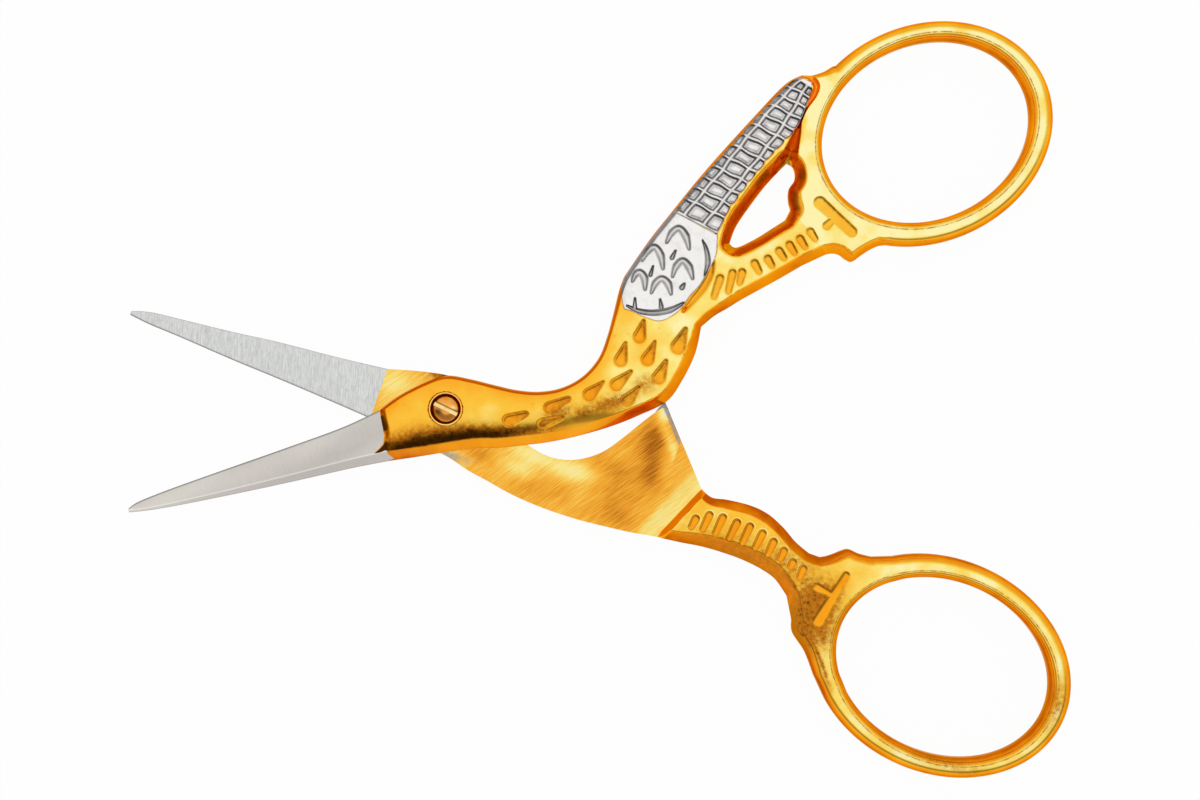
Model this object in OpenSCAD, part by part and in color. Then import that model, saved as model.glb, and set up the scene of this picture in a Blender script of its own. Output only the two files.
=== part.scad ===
// Stork embroidery scissors: two forged halves crossing at one pivot screw.
// All outlines are drawn with the scissors closed: the pivot axis is Z through the origin, the tips
// lie along -X, the finger bows along +X, and Z = 0 is the surface that the scissors lie on.
// The front half is the upper layer at the pivot and the back half the lower one. Beyond their
// shoulders the legs, the wing and the bows use the full thickness.

/* [Pose] */
// Angle between the two halves as modelled, in degrees
opening = 34.4; // [10:0.1:60]

/* [Thickness] */
// Full thickness at the finger bows
bow_t = 3.3; // [2.8:0.1:4]
// How far the legs and the wing stay below each face of the bows
leg_sink = 0.1; // [0:0.05:0.3]
// Gap between the two flat inner faces
face_gap = 0.04; // [0.02:0.01:0.1]
// Height of the upright strip on each side of the parting line
edge_land = 0.25; // [0.1:0.05:0.4]
// Rise of the rounded crown along the middle of the front neck
crown = 0.2; // [0.05:0.05:0.4]

/* [Blades] */
// Distance from the pivot to the tips
blade_reach = 29.35; // [26:0.05:34]
// Blade thickness where it leaves the neck
blade_root_t = 1.3; // [0.9:0.05:1.5]
// Blade thickness near the tip
blade_tip_t = 0.4; // [0.2:0.05:0.6]
// Thickness left along the cutting edge
edge_t = 0.06; // [0.03:0.01:0.12]
// Width of the polished band along the spine at the root
spine_band = 0.9; // [0.5:0.05:1.3]
// Width of the polished band along the spine near the tip
spine_band_tip = 0.2; // [0.1:0.05:0.4]

/* [Handles] */
// How far the side walls of the neck lean in towards the face
neck_draft = 0.8; // [0.4:0.05:1.2]
// How far the side walls of the legs and the wing lean in
leg_draft = 0.6; // [0.3:0.05:0.9]
// Width of the sloping wall that ends the flat inner plate of the back half
end_slope = 0.8; // [0.4:0.05:1.2]
// Clearance between that wall and the shoulder of the front half, closed
shoulder_gap = 0.25; // [0.15:0.05:0.5]

/* [Finger bows] */
// Half of the long way across the front finger hole
front_hole_long = 9.4; // [8.6:0.1:9.8]
// Half of the short way across the front finger hole
front_hole_short = 7.65; // [7.1:0.05:7.9]
// Half of the long way across the back finger hole
back_hole_long = 9.65; // [8.8:0.05:10]
// Half of the short way across the back finger hole
back_hole_short = 7.55; // [7:0.05:7.8]
// Tilt of the finger holes away from the closed line, in degrees
hole_tilt = 6.8; // [4:0.1:10]
// Width of the bow wire at its far end
wire_end = 2.15; // [1.7:0.05:2.5]
// Width of the bow wire at its sides
wire_side = 1.9; // [1.6:0.05:2]
// How far the bow wire is rounded over from each edge
wire_round = 0.75; // [0.5:0.05:0.8]

/* [Pivot screw] */
// Radius of the domed screw head
head_r = 1.28; // [1.1:0.01:1.6]
// Radial gap between the head and its counterbore
head_clear = 0.09; // [0.05:0.01:0.2]
// Depth of the counterbore from the top of the neck
head_h = 0.75; // [0.5:0.05:0.9]
// Height of the dome above the rim of the head
head_dome = 0.18; // [0.05:0.01:0.25]
// Radius of the smooth shank that the front half turns on
shank_r = 0.8; // [0.6:0.01:0.95]
// Radial running clearance of the shank in the front half
run_clear = 0.03; // [0.01:0.01:0.08]
// Radius of the screwed end in the back half
thread_r = 0.7; // [0.5:0.01:0.75]
// Gap around the screwed end and under the head
seat_clear = 0.02; // [0.01:0.01:0.04]
// Width of the screwdriver slot
slot_w = 0.4; // [0.25:0.01:0.6]
// Depth of the screwdriver slot
slot_d = 0.35; // [0.2:0.01:0.5]
// Direction of the slot in the modelled pose, in degrees
slot_turn = -26; // [-90:1:90]

/* [Hidden] */
$fn = 64;

steel = [0.72, 0.73, 0.74];
gold = [0.85, 0.6, 0.18];
silver = [0.66, 0.65, 0.63];

// Heights
mid = bow_t / 2;
front_face = mid + face_gap / 2;
back_face = mid - face_gap / 2;
leg_top = bow_t - leg_sink;
leg_low = leg_sink;
neck_top = leg_top;
seat_z = neck_top - head_h;
cut = 1;

// Steps per control point on curves, and around the round part of a bow
steps = 3;
bow_steps = 40;
// A wall that meets a neighbour leans in by no more than this
joined = 0.03;
// Share of a rounded wall's lean and rise at its middle point
round_in = 0.35;
round_up = 0.72;
// The crown's shoulders: how far in they lie as a share of the width, and how low as a share of the crown
crown_in = 0.36;
crown_fall = 0.2;
// No lean or band takes more than this share of a bar's or a blade's width
lean_most = 0.4;
band_most = 0.6;
// Thickness at the spine as a share of the blade's full thickness
spine_share = 0.5;
// A length along the end wall's slope, measured on the sections that cross it at its two ends
slope_at_corner = 1.5;
slope_at_notch = 1.08;

// A smooth curve through hand-chosen points
function spline(a, b, c, d, t) =
    0.5 * (2 * b + (c - a) * t + (2 * a - 5 * b + 4 * c - d) * t * t
           + (3 * b - a - 3 * c + d) * t * t * t);
function curve(p) =
    let (last = len(p) - 1)
    [for (i = [0 : last - 1]) for (k = [0 : steps - 1])
        spline(p[max(i - 1, 0)], p[i], p[i + 1], p[min(i + 2, last)], k / steps)];
function ending(p) = [p[len(p) - 1]];
// The same curve, carried straight on to a last point and ended there
function to_end(p, q) = concat(curve(p), curve(concat(ending(p), [q])), [q]);
function blend(a, b, t) = a + (b - a) * t;

// Where the steel of the blades begins, on each edge
front_root = [[-5.75, 1.65], [-6.15, -2.85]];
back_root = [[-6, 1.85], [-6.2, -2.75]];

// Blade edges as [share of the length, Y], from the root to the tip
front_edge = [[0.15, 1.2], [0.37, 0.98], [0.59, 0.82], [0.8, 0.65], [0.91, 0.5], [0.965, 0.2], [1, -0.13]];
front_spine = [[0.15, -2.45], [0.37, -2.02], [0.59, -1.53], [0.8, -1], [0.91, -0.66], [0.965, -0.42], [1, -0.24]];
back_spine = [[0.2, 1.56], [0.42, 1.35], [0.6, 1.04], [0.8, 0.79], [0.9, 0.66], [0.96, 0.36], [1, 0.1]];
back_edge = [[0.22, -2.15], [0.4, -1.7], [0.57, -1.31], [0.78, -0.74], [0.9, -0.46], [0.96, -0.22], [1, 0]];
function along_blade(root, list) =
    concat([root], [for (p = list) [root[0] - p[0] * (blade_reach + root[0]), p[1]]]);

// The neck: its back and its belly, in pairs from the blade to the shoulder
neck_back = [[-3.4, 2.4], [-0.8, 2.8], [1, 2.75], [2.8, 1.85], [4.6, 0.75], [6.4, -0.3], [8.3, -1.05],
             [10.3, -1.3], [12.3, -0.9], [14.1, 0.2], [15.4, 1.8], [16.5, 3.5], [17.6, 5.3]];
neck_belly = [[-3.4, -3.3], [-1, -3.65], [1.4, -4.05], [3.4, -4.65], [5.3, -5.05], [7.3, -5.45], [9.4, -5.7],
              [11.4, -5.85], [13.5, -5.9], [15.8, -5.8], [18.5, -5.5], [20.5, -3.9], [22.3, -2]];
plate_back = [[-3.4, 2.45], [-0.8, 2.85], [1, 2.75], [2.8, 1.85], [4.6, 0.75], [6.4, -0.35], [8.3, -1.15],
              [10.3, -1.42], [12.3, -0.95], [14.2, 0.3], [15.6, 2.05], [16.9, 3.95], [18, 5.4]];
plate_belly = [[-3.4, -3.3], [-1, -3.65], [1.4, -4.05], [3.4, -4.65], [5.3, -5.05], [7.3, -5.5], [9.4, -5.8],
               [11.4, -5.95], [13.5, -6], [15.2, -5.95], [16.9, -5.85], [18.4, -5.75], [19.4, -5.64]];

// The end wall of the back plate, and the shoulder of the front half just beyond it
plate_corner = [18.6, 5.7];
plate_notch = [23.5, -0.25];
plate_heel = [20.9, -5.45];
// Last point of the belly before the heel, level with the corner
plate_turn = [19.6, -5.62];
wall_dir = (plate_notch - plate_corner) / norm(plate_notch - plate_corner);
wall_out = [-wall_dir[1], wall_dir[0]];
// The shoulder runs on past the corner to the stork's back, and stops short at the notch under the chest
past_corner = 0.62;
short_of_notch = 0.25;
shoulder_back = plate_corner + shoulder_gap * wall_out - past_corner * wall_dir;
shoulder_notch = plate_notch + shoulder_gap * wall_out - short_of_notch * wall_dir;
// Where the wing parts from the leg, as a share of the shoulder
split_share = 0.55;
shoulder_split = blend(shoulder_back, shoulder_notch, split_share);

// The wing bar and the leg of the front half, with the seam that they share up to the gap between them
seam = [shoulder_split, [24.6, 4.6], [28.1, 6.3]];
wing_back = [shoulder_back, [21.5, 8.75], [24.1, 10.5], [26.2, 11.9], [28.4, 13.3], [31.1, 14.9],
             [33.8, 16.45], [36.2, 17.8], [37.5, 18.35], [38.6, 18.5]];
wing_gap = [[28.1, 6.3], [29.1, 7.55], [30.8, 8.9], [32.9, 10.35], [35, 11.5]];
wing_bow = [[35, 11.5], [36.4, 13.4], [37.9, 15.5], [38.9, 16.7]];
tail_tip = [[39.45, 18.2], [39.5, 17.3]];
wing_seat = to_end(wing_bow, tail_tip[1]);
leg_gap = [[28.1, 6.3], [28.6, 5.8], [30.3, 6], [32.1, 6.45], [33.4, 6.8]];
leg_belly = [shoulder_notch, [24.9, 0.65], [26.3, 0.97], [27.6, 1.3], [29.6, 1.7], [31.6, 2.1], [33.6, 2.55]];
front_foot = [[34.1, 7.5], [35.9, 2.85]];
bow_gap = [[35, 11.5], [35.4, 11.1], [35.45, 10.5], [35.2, 9.85], [34.5, 9.25], [34.15, 8.3], [34.1, 7.5]];
front_spur = [[35.9, 2.85], [36.5, 2.75], [37, 2.45], [37.4, 1.9], [37.9, 1.5], [38.9, 1.75], [39.9, 2.1]];
front_neckline = [[41.4, 18.4], [40.5, 18.2], [39.45, 18.2]];

// The leg of the back half
back_leg_top = [plate_notch, [24.6, -0.72], [26, -0.52], [28.1, -0.42], [29.8, -0.7], [31.4, -1.45],
                [32.8, -2.35], [34.2, -2.95]];
back_leg_low = [plate_heel, [23, -5.3], [25, -5.1], [27, -5.08], [28.9, -5.2], [30.6, -5.5],
                [32, -6], [33.4, -7.1]];
back_foot = [[35.2, -3], [34.4, -9]];
back_spur_top = [[39.5, -1.65], [38.4, -1.7], [37.4, -1.6], [36.8, -1.92], [36.3, -2.33], [35.7, -2.75], [35.2, -3]];
back_spur_low = [[34.4, -9], [34.8, -10.05], [36.3, -11.35], [37.6, -13.05]];

// Finger holes and the round outside of the bows
front_hole = [47.5, 10.45];
back_hole = [48.3, -9.15];
front_ring = front_hole + [-0.1, -0.15];
back_ring = back_hole + [-0.2, 0.1];
front_round = [-131, 126];
back_round = [-148, 131];

// The point of an oval that lies in direction a from its centre
function oval_at(centre, long, short, tilt, a) =
    let (u = a - tilt, r = 1 / sqrt(pow(cos(u) / long, 2) + pow(sin(u) / short, 2)))
    centre + r * [cos(a), sin(a)];
function arc(centre, long, short, tilt, span) =
    [for (i = [0 : bow_steps])
        oval_at(centre, long, short, tilt, blend(span[0], span[1], i / bow_steps))];

// Bow outsides as closed loops, anticlockwise
front_loop = concat(
    arc(front_ring, front_hole_long + wire_end, front_hole_short + wire_side, hole_tilt, front_round),
    curve(front_neckline), [tail_tip[0]],
    [for (i = [len(wing_seat) - 1 : -1 : 1]) wing_seat[i]],
    curve(bow_gap), curve(front_foot), curve(front_spur));
back_loop = concat(
    arc(back_ring, back_hole_long + wire_end, back_hole_short + wire_side, -hole_tilt, back_round),
    curve(back_spur_top), curve(back_foot), curve(back_spur_low));

// Cross-sections as [distance from the left edge, height], from bottom left over the top
function bar_section(w, l, r) =
    let (up = leg_top - mid - edge_land, top = mid + edge_land, low = mid - edge_land)
    [[0, low], [0, top], [l * round_in, top + up * round_up], [l, leg_top],
     [w - r, leg_top], [w - r * round_in, top + up * round_up], [w, top],
     [w, low], [w - r * round_in, low - up * round_up], [w - r, leg_low],
     [l, leg_low], [l * round_in, low - up * round_up]];
function wire_section(w, l, r) =
    let (up = mid - edge_land, top = mid + edge_land, low = mid - edge_land)
    [[0, low], [0, top], [l * round_in, top + up * round_up], [l, bow_t],
     [w - r, bow_t], [w - r * round_in, top + up * round_up], [w, top],
     [w, low], [w - r * round_in, low - up * round_up], [w - r, 0],
     [l, 0], [l * round_in, low - up * round_up]];
function neck_section(w, d) =
    let (top = front_face + edge_land, up = neck_top - crown - top)
    [[0, front_face], [0, top], [d * round_in, top + up * round_up], [d, neck_top - crown],
     [w * crown_in, neck_top - crown * crown_fall], [w / 2, neck_top],
     [w * (1 - crown_in), neck_top - crown * crown_fall],
     [w - d, neck_top - crown], [w - d * round_in, top + up * round_up], [w, top], [w, front_face]];
function plate_section(w, d, inset) =
    let (low = back_face - edge_land)
    [[d, 0], [d * round_in, low * (1 - round_up)], [0, low], [inset, back_face],
     [w, back_face], [w, low], [w - d * round_in, low * (1 - round_up)], [w - d, 0]];
function blade_section(w, t, band, face, up) =
    [[0, face], [0, face + up * edge_t], [w - band, face + up * t], [w, face + up * t * spine_share], [w, face]];

// A solid skinned over sections that stand on the lines from the left to the right edge
function ring_at(a, b, section) =
    let (w = norm(b - a), dir = (b - a) / w)
    [for (s = section) [a[0] + dir[0] * s[0], a[1] + dir[1] * s[0], s[1]]];
module skin(rings, closed = false) {
    n = len(rings);
    m = len(rings[0]);
    last = closed ? n - 1 : n - 2;
    points = [for (r = rings) for (p = r) p];
    sides = [for (i = [0 : last]) for (j = [0 : m - 1])
        let (a = i * m + j, b = i * m + (j + 1) % m, c = ((i + 1) % n) * m + (j + 1) % m, d = ((i + 1) % n) * m + j)
        each [[a, d, c], [a, c, b]]];
    caps = closed ? [] : [[for (j = [0 : m - 1]) j], [for (j = [m - 1 : -1 : 0]) (n - 1) * m + j]];
    polyhedron(points, concat(sides, caps));
}

// Places of a half in the modelled pose
module front_pose() { rotate(opening / 2) children(); }
module back_pose() { rotate(-opening / 2) children(); }

// Share of the way from the root to the tip
function reach(x) = (x - front_root[0][0]) / (-blade_reach - front_root[0][0]);
function blade_t(x) = blend(blade_root_t, blade_tip_t, reach(x));
function band_w(x, w) = min(w * band_most, blend(spine_band, spine_band_tip, reach(x)));

// The paths of the blades run from the tip to the root, so that their left edge is the upper one
function reversed(p) = [for (i = [len(p) - 1 : -1 : 0]) p[i]];

module front_blade() {
    edge = reversed(along_blade(front_root[0], front_edge));
    spine = reversed(along_blade(front_root[1], front_spine));
    left = concat(curve(edge), ending(edge));
    right = concat(curve(spine), ending(spine));
    color(steel) front_pose() skin([for (i = [0 : len(left) - 1])
        let (w = norm(right[i] - left[i]))
        ring_at(left[i], right[i],
                blade_section(w, blade_t(left[i][0]), band_w(left[i][0], w), front_face, 1))]);
}

module back_blade() {
    edge = reversed(along_blade(back_root[1], back_edge));
    spine = reversed(along_blade(back_root[0], back_spine));
    left = concat(curve(spine), ending(spine));
    right = concat(curve(edge), ending(edge));
    color(steel) back_pose() skin([for (i = [0 : len(left) - 1])
        let (w = norm(right[i] - left[i]))
        ring_at(right[i], left[i],
                blade_section(w, blade_t(left[i][0]), band_w(left[i][0], w), back_face, -1))]);
}

module front_neck() {
    back = concat([front_root[0]], neck_back, [shoulder_back]);
    belly = concat([front_root[1]], neck_belly, [shoulder_notch]);
    left = concat(curve(back), ending(back));
    right = concat(curve(belly), ending(belly));
    color(gold) front_pose() difference() {
        skin([for (i = [0 : len(left) - 1])
            ring_at(left[i], right[i], neck_section(norm(right[i] - left[i]), neck_draft))]);
        translate([0, 0, -cut]) cylinder(r = shank_r + run_clear, h = bow_t + 2 * cut);
        translate([0, 0, seat_z]) cylinder(r = head_r + head_clear, h = head_h + cut);
    }
}

module back_neck() {
    back = concat([back_root[0]], plate_back, [plate_corner]);
    belly = concat([back_root[1]], plate_belly, [plate_turn]);
    left = concat(curve(back), ending(back));
    right = concat(curve(belly), ending(belly));
    n = len(left);
    color(gold) back_pose() difference() {
        skin(concat(
            [for (i = [0 : n - 1])
                ring_at(left[i], right[i],
                        plate_section(norm(right[i] - left[i]), neck_draft, i < n - 1 ? joined : end_slope * slope_at_corner))],
            [ring_at(plate_notch, plate_heel,
                     plate_section(norm(plate_heel - plate_notch), neck_draft, end_slope * slope_at_notch))]));
        translate([0, 0, -cut]) cylinder(r = thread_r + seat_clear, h = bow_t + 2 * cut);
    }
}

module front_wing() {
    left = to_end(wing_back, tail_tip[0]);
    right = concat(curve(seam), curve(wing_gap), wing_seat);
    seam_end = len(curve(seam));
    gap_end = seam_end + len(curve(wing_gap));
    color(silver) front_pose() skin([for (i = [0 : len(left) - 1])
        let (w = norm(right[i] - left[i]), inner = (i > seam_end && i < gap_end) ? leg_draft : joined)
        ring_at(left[i], right[i], bar_section(w, min(leg_draft, w * lean_most), min(inner, w * lean_most)))]);
}

module front_leg() {
    left = concat(curve(seam), to_end(leg_gap, front_foot[0]));
    right = to_end(leg_belly, front_foot[1]);
    seam_end = len(curve(seam));
    color(gold) front_pose() skin([for (i = [0 : len(left) - 1])
        ring_at(left[i], right[i],
                bar_section(norm(right[i] - left[i]), i > seam_end ? leg_draft : joined, leg_draft))]);
}

module back_leg() {
    left = to_end(back_leg_top, back_foot[0]);
    right = to_end(back_leg_low, back_foot[1]);
    color(gold) back_pose() skin([for (i = [0 : len(left) - 1])
        ring_at(left[i], right[i], bar_section(norm(right[i] - left[i]), leg_draft, leg_draft))]);
}

// A bow: each point of the outside is joined to the point of the finger hole in the same direction
module bow(loop, centre, long, short, tilt) {
    skin([for (p = loop)
        let (a = atan2(p[1] - centre[1], p[0] - centre[0]), q = oval_at(centre, long, short, tilt, a))
        ring_at(q, p, wire_section(norm(p - q), wire_round, wire_round))], closed = true);
}

module front_bow() {
    color(gold) front_pose() bow(front_loop, front_hole, front_hole_long, front_hole_short, hole_tilt);
}

module back_bow() {
    color(gold) back_pose() bow(back_loop, back_hole, back_hole_long, back_hole_short, -hole_tilt);
}

module pivot_screw() {
    rim = neck_top - head_dome;
    dome_r = (head_r * head_r + head_dome * head_dome) / (2 * head_dome);
    color(gold) difference() {
        union() {
            cylinder(r = thread_r, h = back_face);
            translate([0, 0, back_face]) cylinder(r = shank_r, h = seat_z + seat_clear - back_face);
            translate([0, 0, seat_z + seat_clear]) cylinder(r = head_r, h = rim - seat_z - seat_clear);
            intersection() {
                translate([0, 0, rim]) cylinder(r = head_r, h = head_dome + cut);
                translate([0, 0, neck_top - dome_r]) sphere(r = dome_r);
            }
        }
        rotate(slot_turn) translate([-head_r - cut, -slot_w / 2, neck_top - slot_d])
            cube([2 * (head_r + cut), slot_w, slot_d + cut]);
    }
}

front_blade();
front_neck();
front_wing();
front_leg();
front_bow();
back_blade();
back_neck();
back_leg();
back_bow();
pivot_screw();
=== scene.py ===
"""Stork embroidery scissors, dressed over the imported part.

All outlines are in millimetres with the scissors closed: the pivot axis is Z through the origin, the tips lie along -X
and the finger bows along +X. Each half is worked out in that frame and then turned by half the opening angle, the front
half to the left and the back half to the right, which is how the part is packed.

A piece is a grid of points in plan that stands on straight rows from its left to its right edge. Its upper and lower
faces are heights over that grid: the level of the face, less the fall towards the nearest real edge, less the forged
pits, grooves and feathers. Everything is computed as whole arrays.
"""

import math

import bpy
import numpy as np
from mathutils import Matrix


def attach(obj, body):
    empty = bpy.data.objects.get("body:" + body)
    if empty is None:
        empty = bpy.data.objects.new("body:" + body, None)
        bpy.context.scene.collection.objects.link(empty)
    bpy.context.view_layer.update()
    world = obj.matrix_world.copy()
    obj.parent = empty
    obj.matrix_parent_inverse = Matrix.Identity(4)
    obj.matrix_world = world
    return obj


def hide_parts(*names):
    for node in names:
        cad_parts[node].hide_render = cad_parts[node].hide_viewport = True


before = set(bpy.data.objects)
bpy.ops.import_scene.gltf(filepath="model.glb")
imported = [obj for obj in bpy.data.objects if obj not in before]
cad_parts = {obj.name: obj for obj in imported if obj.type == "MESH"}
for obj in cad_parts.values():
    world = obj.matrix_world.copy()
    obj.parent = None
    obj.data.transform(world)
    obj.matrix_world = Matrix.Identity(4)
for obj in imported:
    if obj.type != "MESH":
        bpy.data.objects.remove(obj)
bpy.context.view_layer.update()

MM = 0.001
HALF_OPENING = math.radians(17.2)

# Levels: the middle of the scissors, the two flat inner faces, and the upright strip at every edge
MID = 1.65
FRONT_FACE = 1.67
BACK_FACE = 1.63
LAND = 0.25
# Heights of the outer faces above or below the middle, and where along X the bows rise from the one to the other
LEG_UP = 1.53
BOW_UP = 1.6
BOW_RISE = (35.5, 38)
# The silver: how far it stands proud of the gold, how thick it is, and how near it comes to the middle
SILVER_PROUD = 0.02
SILVER_THICK = 0.46
SILVER_INSIDE = 0.12
# Its pocket in the gold, and the least height from the middle of the gold under it, on the wing and on the plate
SILVER_POCKET = 0.42
WING_LEAST = 0.06
PLATE_LEAST = 0.19

# Outlines, as the part has them, but for the blades' tips, the chest and the front spur, which are within 0.3 mm
FRONT_ROOT = [(-5.75, 1.65), (-6.15, -2.85)]
BACK_ROOT = [(-6, 1.85), (-6.2, -2.75)]
BLADE_REACH = 29.35
FRONT_EDGE = [(0.15, 1.2), (0.37, 0.98), (0.59, 0.82), (0.8, 0.65), (0.91, 0.5), (0.965, 0.36), (0.998, 0.1)]
FRONT_SPINE = [(0.15, -2.45), (0.37, -2.02), (0.59, -1.53), (0.8, -1), (0.91, -0.66), (0.965, -0.42), (1, -0.24)]
BACK_SPINE = [(0.2, 1.56), (0.42, 1.35), (0.6, 1.04), (0.8, 0.79), (0.9, 0.66), (0.96, 0.41), (0.987, 0.2)]
BACK_EDGE = [(0.22, -2.15), (0.4, -1.7), (0.57, -1.31), (0.78, -0.74), (0.9, -0.46), (0.96, -0.24), (0.987, -0.12)]
NECK_BACK = [(-3.4, 2.4), (-0.8, 2.8), (1, 2.75), (2.8, 1.85), (4.6, 0.75), (6.4, -0.3), (8.3, -1.05),
             (10.3, -1.3), (12.3, -0.9), (14.1, 0.2), (15.4, 1.8), (16.5, 3.5), (17.6, 5.3)]
NECK_BELLY = [(-3.4, -3.3), (-1, -3.65), (1.4, -4.05), (3.4, -4.65), (5.3, -5.05), (7.3, -5.45), (9.4, -5.7),
              (11.4, -5.82), (13.5, -5.84), (15.8, -5.68), (18.62, -5.25), (20.5, -3.9), (22.3, -2)]
PLATE_BACK = [(-3.4, 2.45), (-0.8, 2.85), (1, 2.75), (2.8, 1.85), (4.6, 0.75), (6.4, -0.35), (8.3, -1.15),
              (10.3, -1.42), (12.3, -0.95), (14.2, 0.3), (15.6, 2.05), (16.9, 3.95), (18, 5.4)]
PLATE_BELLY = NECK_BELLY[:5] + [(7.3, -5.5), (9.4, -5.8), (11.4, -5.95), (13.5, -6), (15.2, -5.95), (16.9, -5.85),
                                (18.4, -5.75), (19.4, -5.64)]
PLATE_CORNER = (18.6, 5.7)
PLATE_TURN = (19.6, -5.62)
PLATE_NOTCH = (23.5, -0.25)
PLATE_HEEL = (20.9, -5.45)
SHOULDER_BACK = (18.397, 6.339)
SHOULDER_SPLIT = (21.218, 2.912)
SHOULDER_NOTCH = (23.534, 0.102)
SEAM = [SHOULDER_SPLIT, (24.6, 4.6), (28.1, 6.3)]
WING_BACK = [SHOULDER_BACK, (21.5, 8.75), (24.1, 10.5), (26.2, 11.9), (28.4, 13.3), (31.1, 14.9),
             (33.8, 16.45), (36.2, 17.8), (37.5, 18.35), (38.6, 18.5)]
WING_GAP = [(28.1, 6.3), (29.1, 7.55), (30.8, 8.9), (32.9, 10.35), (35, 11.5)]
WING_SEAT = [(35, 11.5), (36.4, 13.4), (37.9, 15.5), (38.9, 16.7)]
TAIL_TIP = [(39.45, 18.2), (39.5, 17.3)]
LEG_GAP = [(28.1, 6.3), (28.6, 5.8), (30.3, 6), (32.1, 6.45), (33.4, 6.8)]
LEG_BELLY = [SHOULDER_NOTCH, (24.9, 0.65), (26.3, 0.97), (27.6, 1.3), (29.6, 1.7), (31.6, 2.1), (33.6, 2.55)]
FRONT_FOOT = [(34.1, 7.5), (35.9, 2.85)]
BOW_GAP = [(35, 11.5), (35.4, 11.1), (35.45, 10.5), (35.2, 9.85), (34.5, 9.25), (34.15, 8.3), (34.1, 7.5)]
FRONT_SPUR = [(35.9, 2.85), (36.5, 2.75), (37, 2.45), (37.4, 1.9), (37.9, 1.55), (38.9, 1.85), (39.8, 2.08),
              (40.55, 2.17)]
NECKLINE = [(41.4, 18.4), (40.5, 18.2), (39.45, 18.2)]
BACK_LEG_TOP = [PLATE_NOTCH, (24.6, -0.72), (26, -0.52), (28.1, -0.42), (29.8, -0.7), (31.4, -1.45),
                (32.8, -2.35), (34.2, -2.95)]
BACK_LEG_LOW = [PLATE_HEEL, (23, -5.3), (25, -5.1), (27, -5.08), (28.9, -5.2), (30.6, -5.5), (32, -6), (33.4, -7.1)]
BACK_FOOT = [(35.2, -3), (34.4, -9)]
BACK_SPUR_TOP = [(39.5, -1.65), (38.4, -1.7), (37.4, -1.6), (36.8, -1.92), (36.3, -2.33), (35.7, -2.75), (35.2, -3)]
BACK_SPUR_LOW = [(34.4, -9), (34.8, -10.05), (36.3, -11.35), (37.6, -13.05)]

# Finger holes: centre, half lengths and tilt, and the round outside of each bow with its centre and span in degrees
FRONT_HOLE = dict(centre=(47.5, 10.45), long=9.4, short=7.65, tilt=6.8)
BACK_HOLE = dict(centre=(48.3, -9.15), long=9.65, short=7.55, tilt=-6.8)
FRONT_RING = dict(centre=(47.4, 10.3), long=11.52, short=9.53, tilt=6.8)
BACK_RING = dict(centre=(48.1, -9.05), long=11.77, short=9.43, tilt=-6.8)
FRONT_ROUND = (-127, 126)
BACK_ROUND = (-148, 131)
ROUND_PLACES = 480

# Pivot screw: its head, the slot in it, and the pocket and the rim round it
SCREW_R = 1.25
SCREW_TOP = 3.2
SCREW_DOME = 0.42
SCREW_SEAT = 2.47
SLOT_HALF = 0.2
SLOT_DEEP = 0.33
SLOT_TURN = math.radians(-26)
POCKET_R = 1.37
POCKET_FLOOR = 2.45
RIM_R = 1.52

# Places to a span of an outline, and of a groove or a border that only distances are taken to. Places round a hole that
# the dark line follows, and along each side of the silver's pocket.
PER = 24
PER_GROOVE = 8
HOLE_PLACES = 240
LOOP_PLACES = 160


def smooth(points, per=PER):
    """Catmull-Rom curve: on each span the cubic that passes its two points, with the slope at a point set by the
    points on each side of it. It gives `per` places to a span and leaves out the last point."""
    p = np.array(points, float)
    t = np.arange((len(p) - 1) * per) / per
    i = t.astype(int)
    f = (t - i)[:, None]
    a, b, c, d = p[np.maximum(i - 1, 0)], p[i], p[i + 1], p[np.minimum(i + 2, len(p) - 1)]
    return 0.5 * (2 * b + (c - a) * f + (2 * a - 5 * b + 4 * c - d) * f**2 + (3 * b - a - 3 * c + d) * f**3)


def chain(*parts, per=PER):
    """Smooth curves one after another, with the end of the last one kept."""
    return np.concatenate([smooth(part, per) for part in parts] + [np.array([parts[-1][-1]], float)])


def straight(start, end, count):
    """Points on a straight line, with its end left out."""
    t = np.arange(count)[:, None] / count
    return np.array(start) * (1 - t) + np.array(end) * t


def oval(ring, degrees):
    """The points of a tilted oval that lie in the given directions from its centre: its radius is one over the root of
    the squared cosine over the long half and the squared sine over the short half."""
    a = np.radians(degrees)
    u = a - math.radians(ring["tilt"])
    r = 1 / np.sqrt((np.cos(u) / ring["long"]) ** 2 + (np.sin(u) / ring["short"]) ** 2)
    return np.array(ring["centre"]) + r[:, None] * np.stack([np.cos(a), np.sin(a)], 1)


def along_blade(root, points):
    """A blade's edge from its root: a share of the length and a Y become a point."""
    return chain([root] + [(root[0] - share * (BLADE_REACH + root[0]), y) for share, y in points])


def step(low, high, value):
    """Smooth step from 0 at low to 1 at high: three t squared less two t cubed."""
    t = np.clip((value - low) / (high - low), 0, 1)
    return t * t * (3 - 2 * t)


def glow(d, width, power=2):
    """A share that is 1 where the distance is 0 and fades out: e to less the power of the distance over the width."""
    return np.exp(-((d / width) ** power))


def blot(x, y, place, half, powers=(2, 2)):
    """A patch that is 1 at its place and fades out on each axis as a glow over its half length."""
    return np.exp(-(((x - place[0]) / half[0]) ** powers[0]) - ((y - place[1]) / half[1]) ** powers[1])


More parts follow.
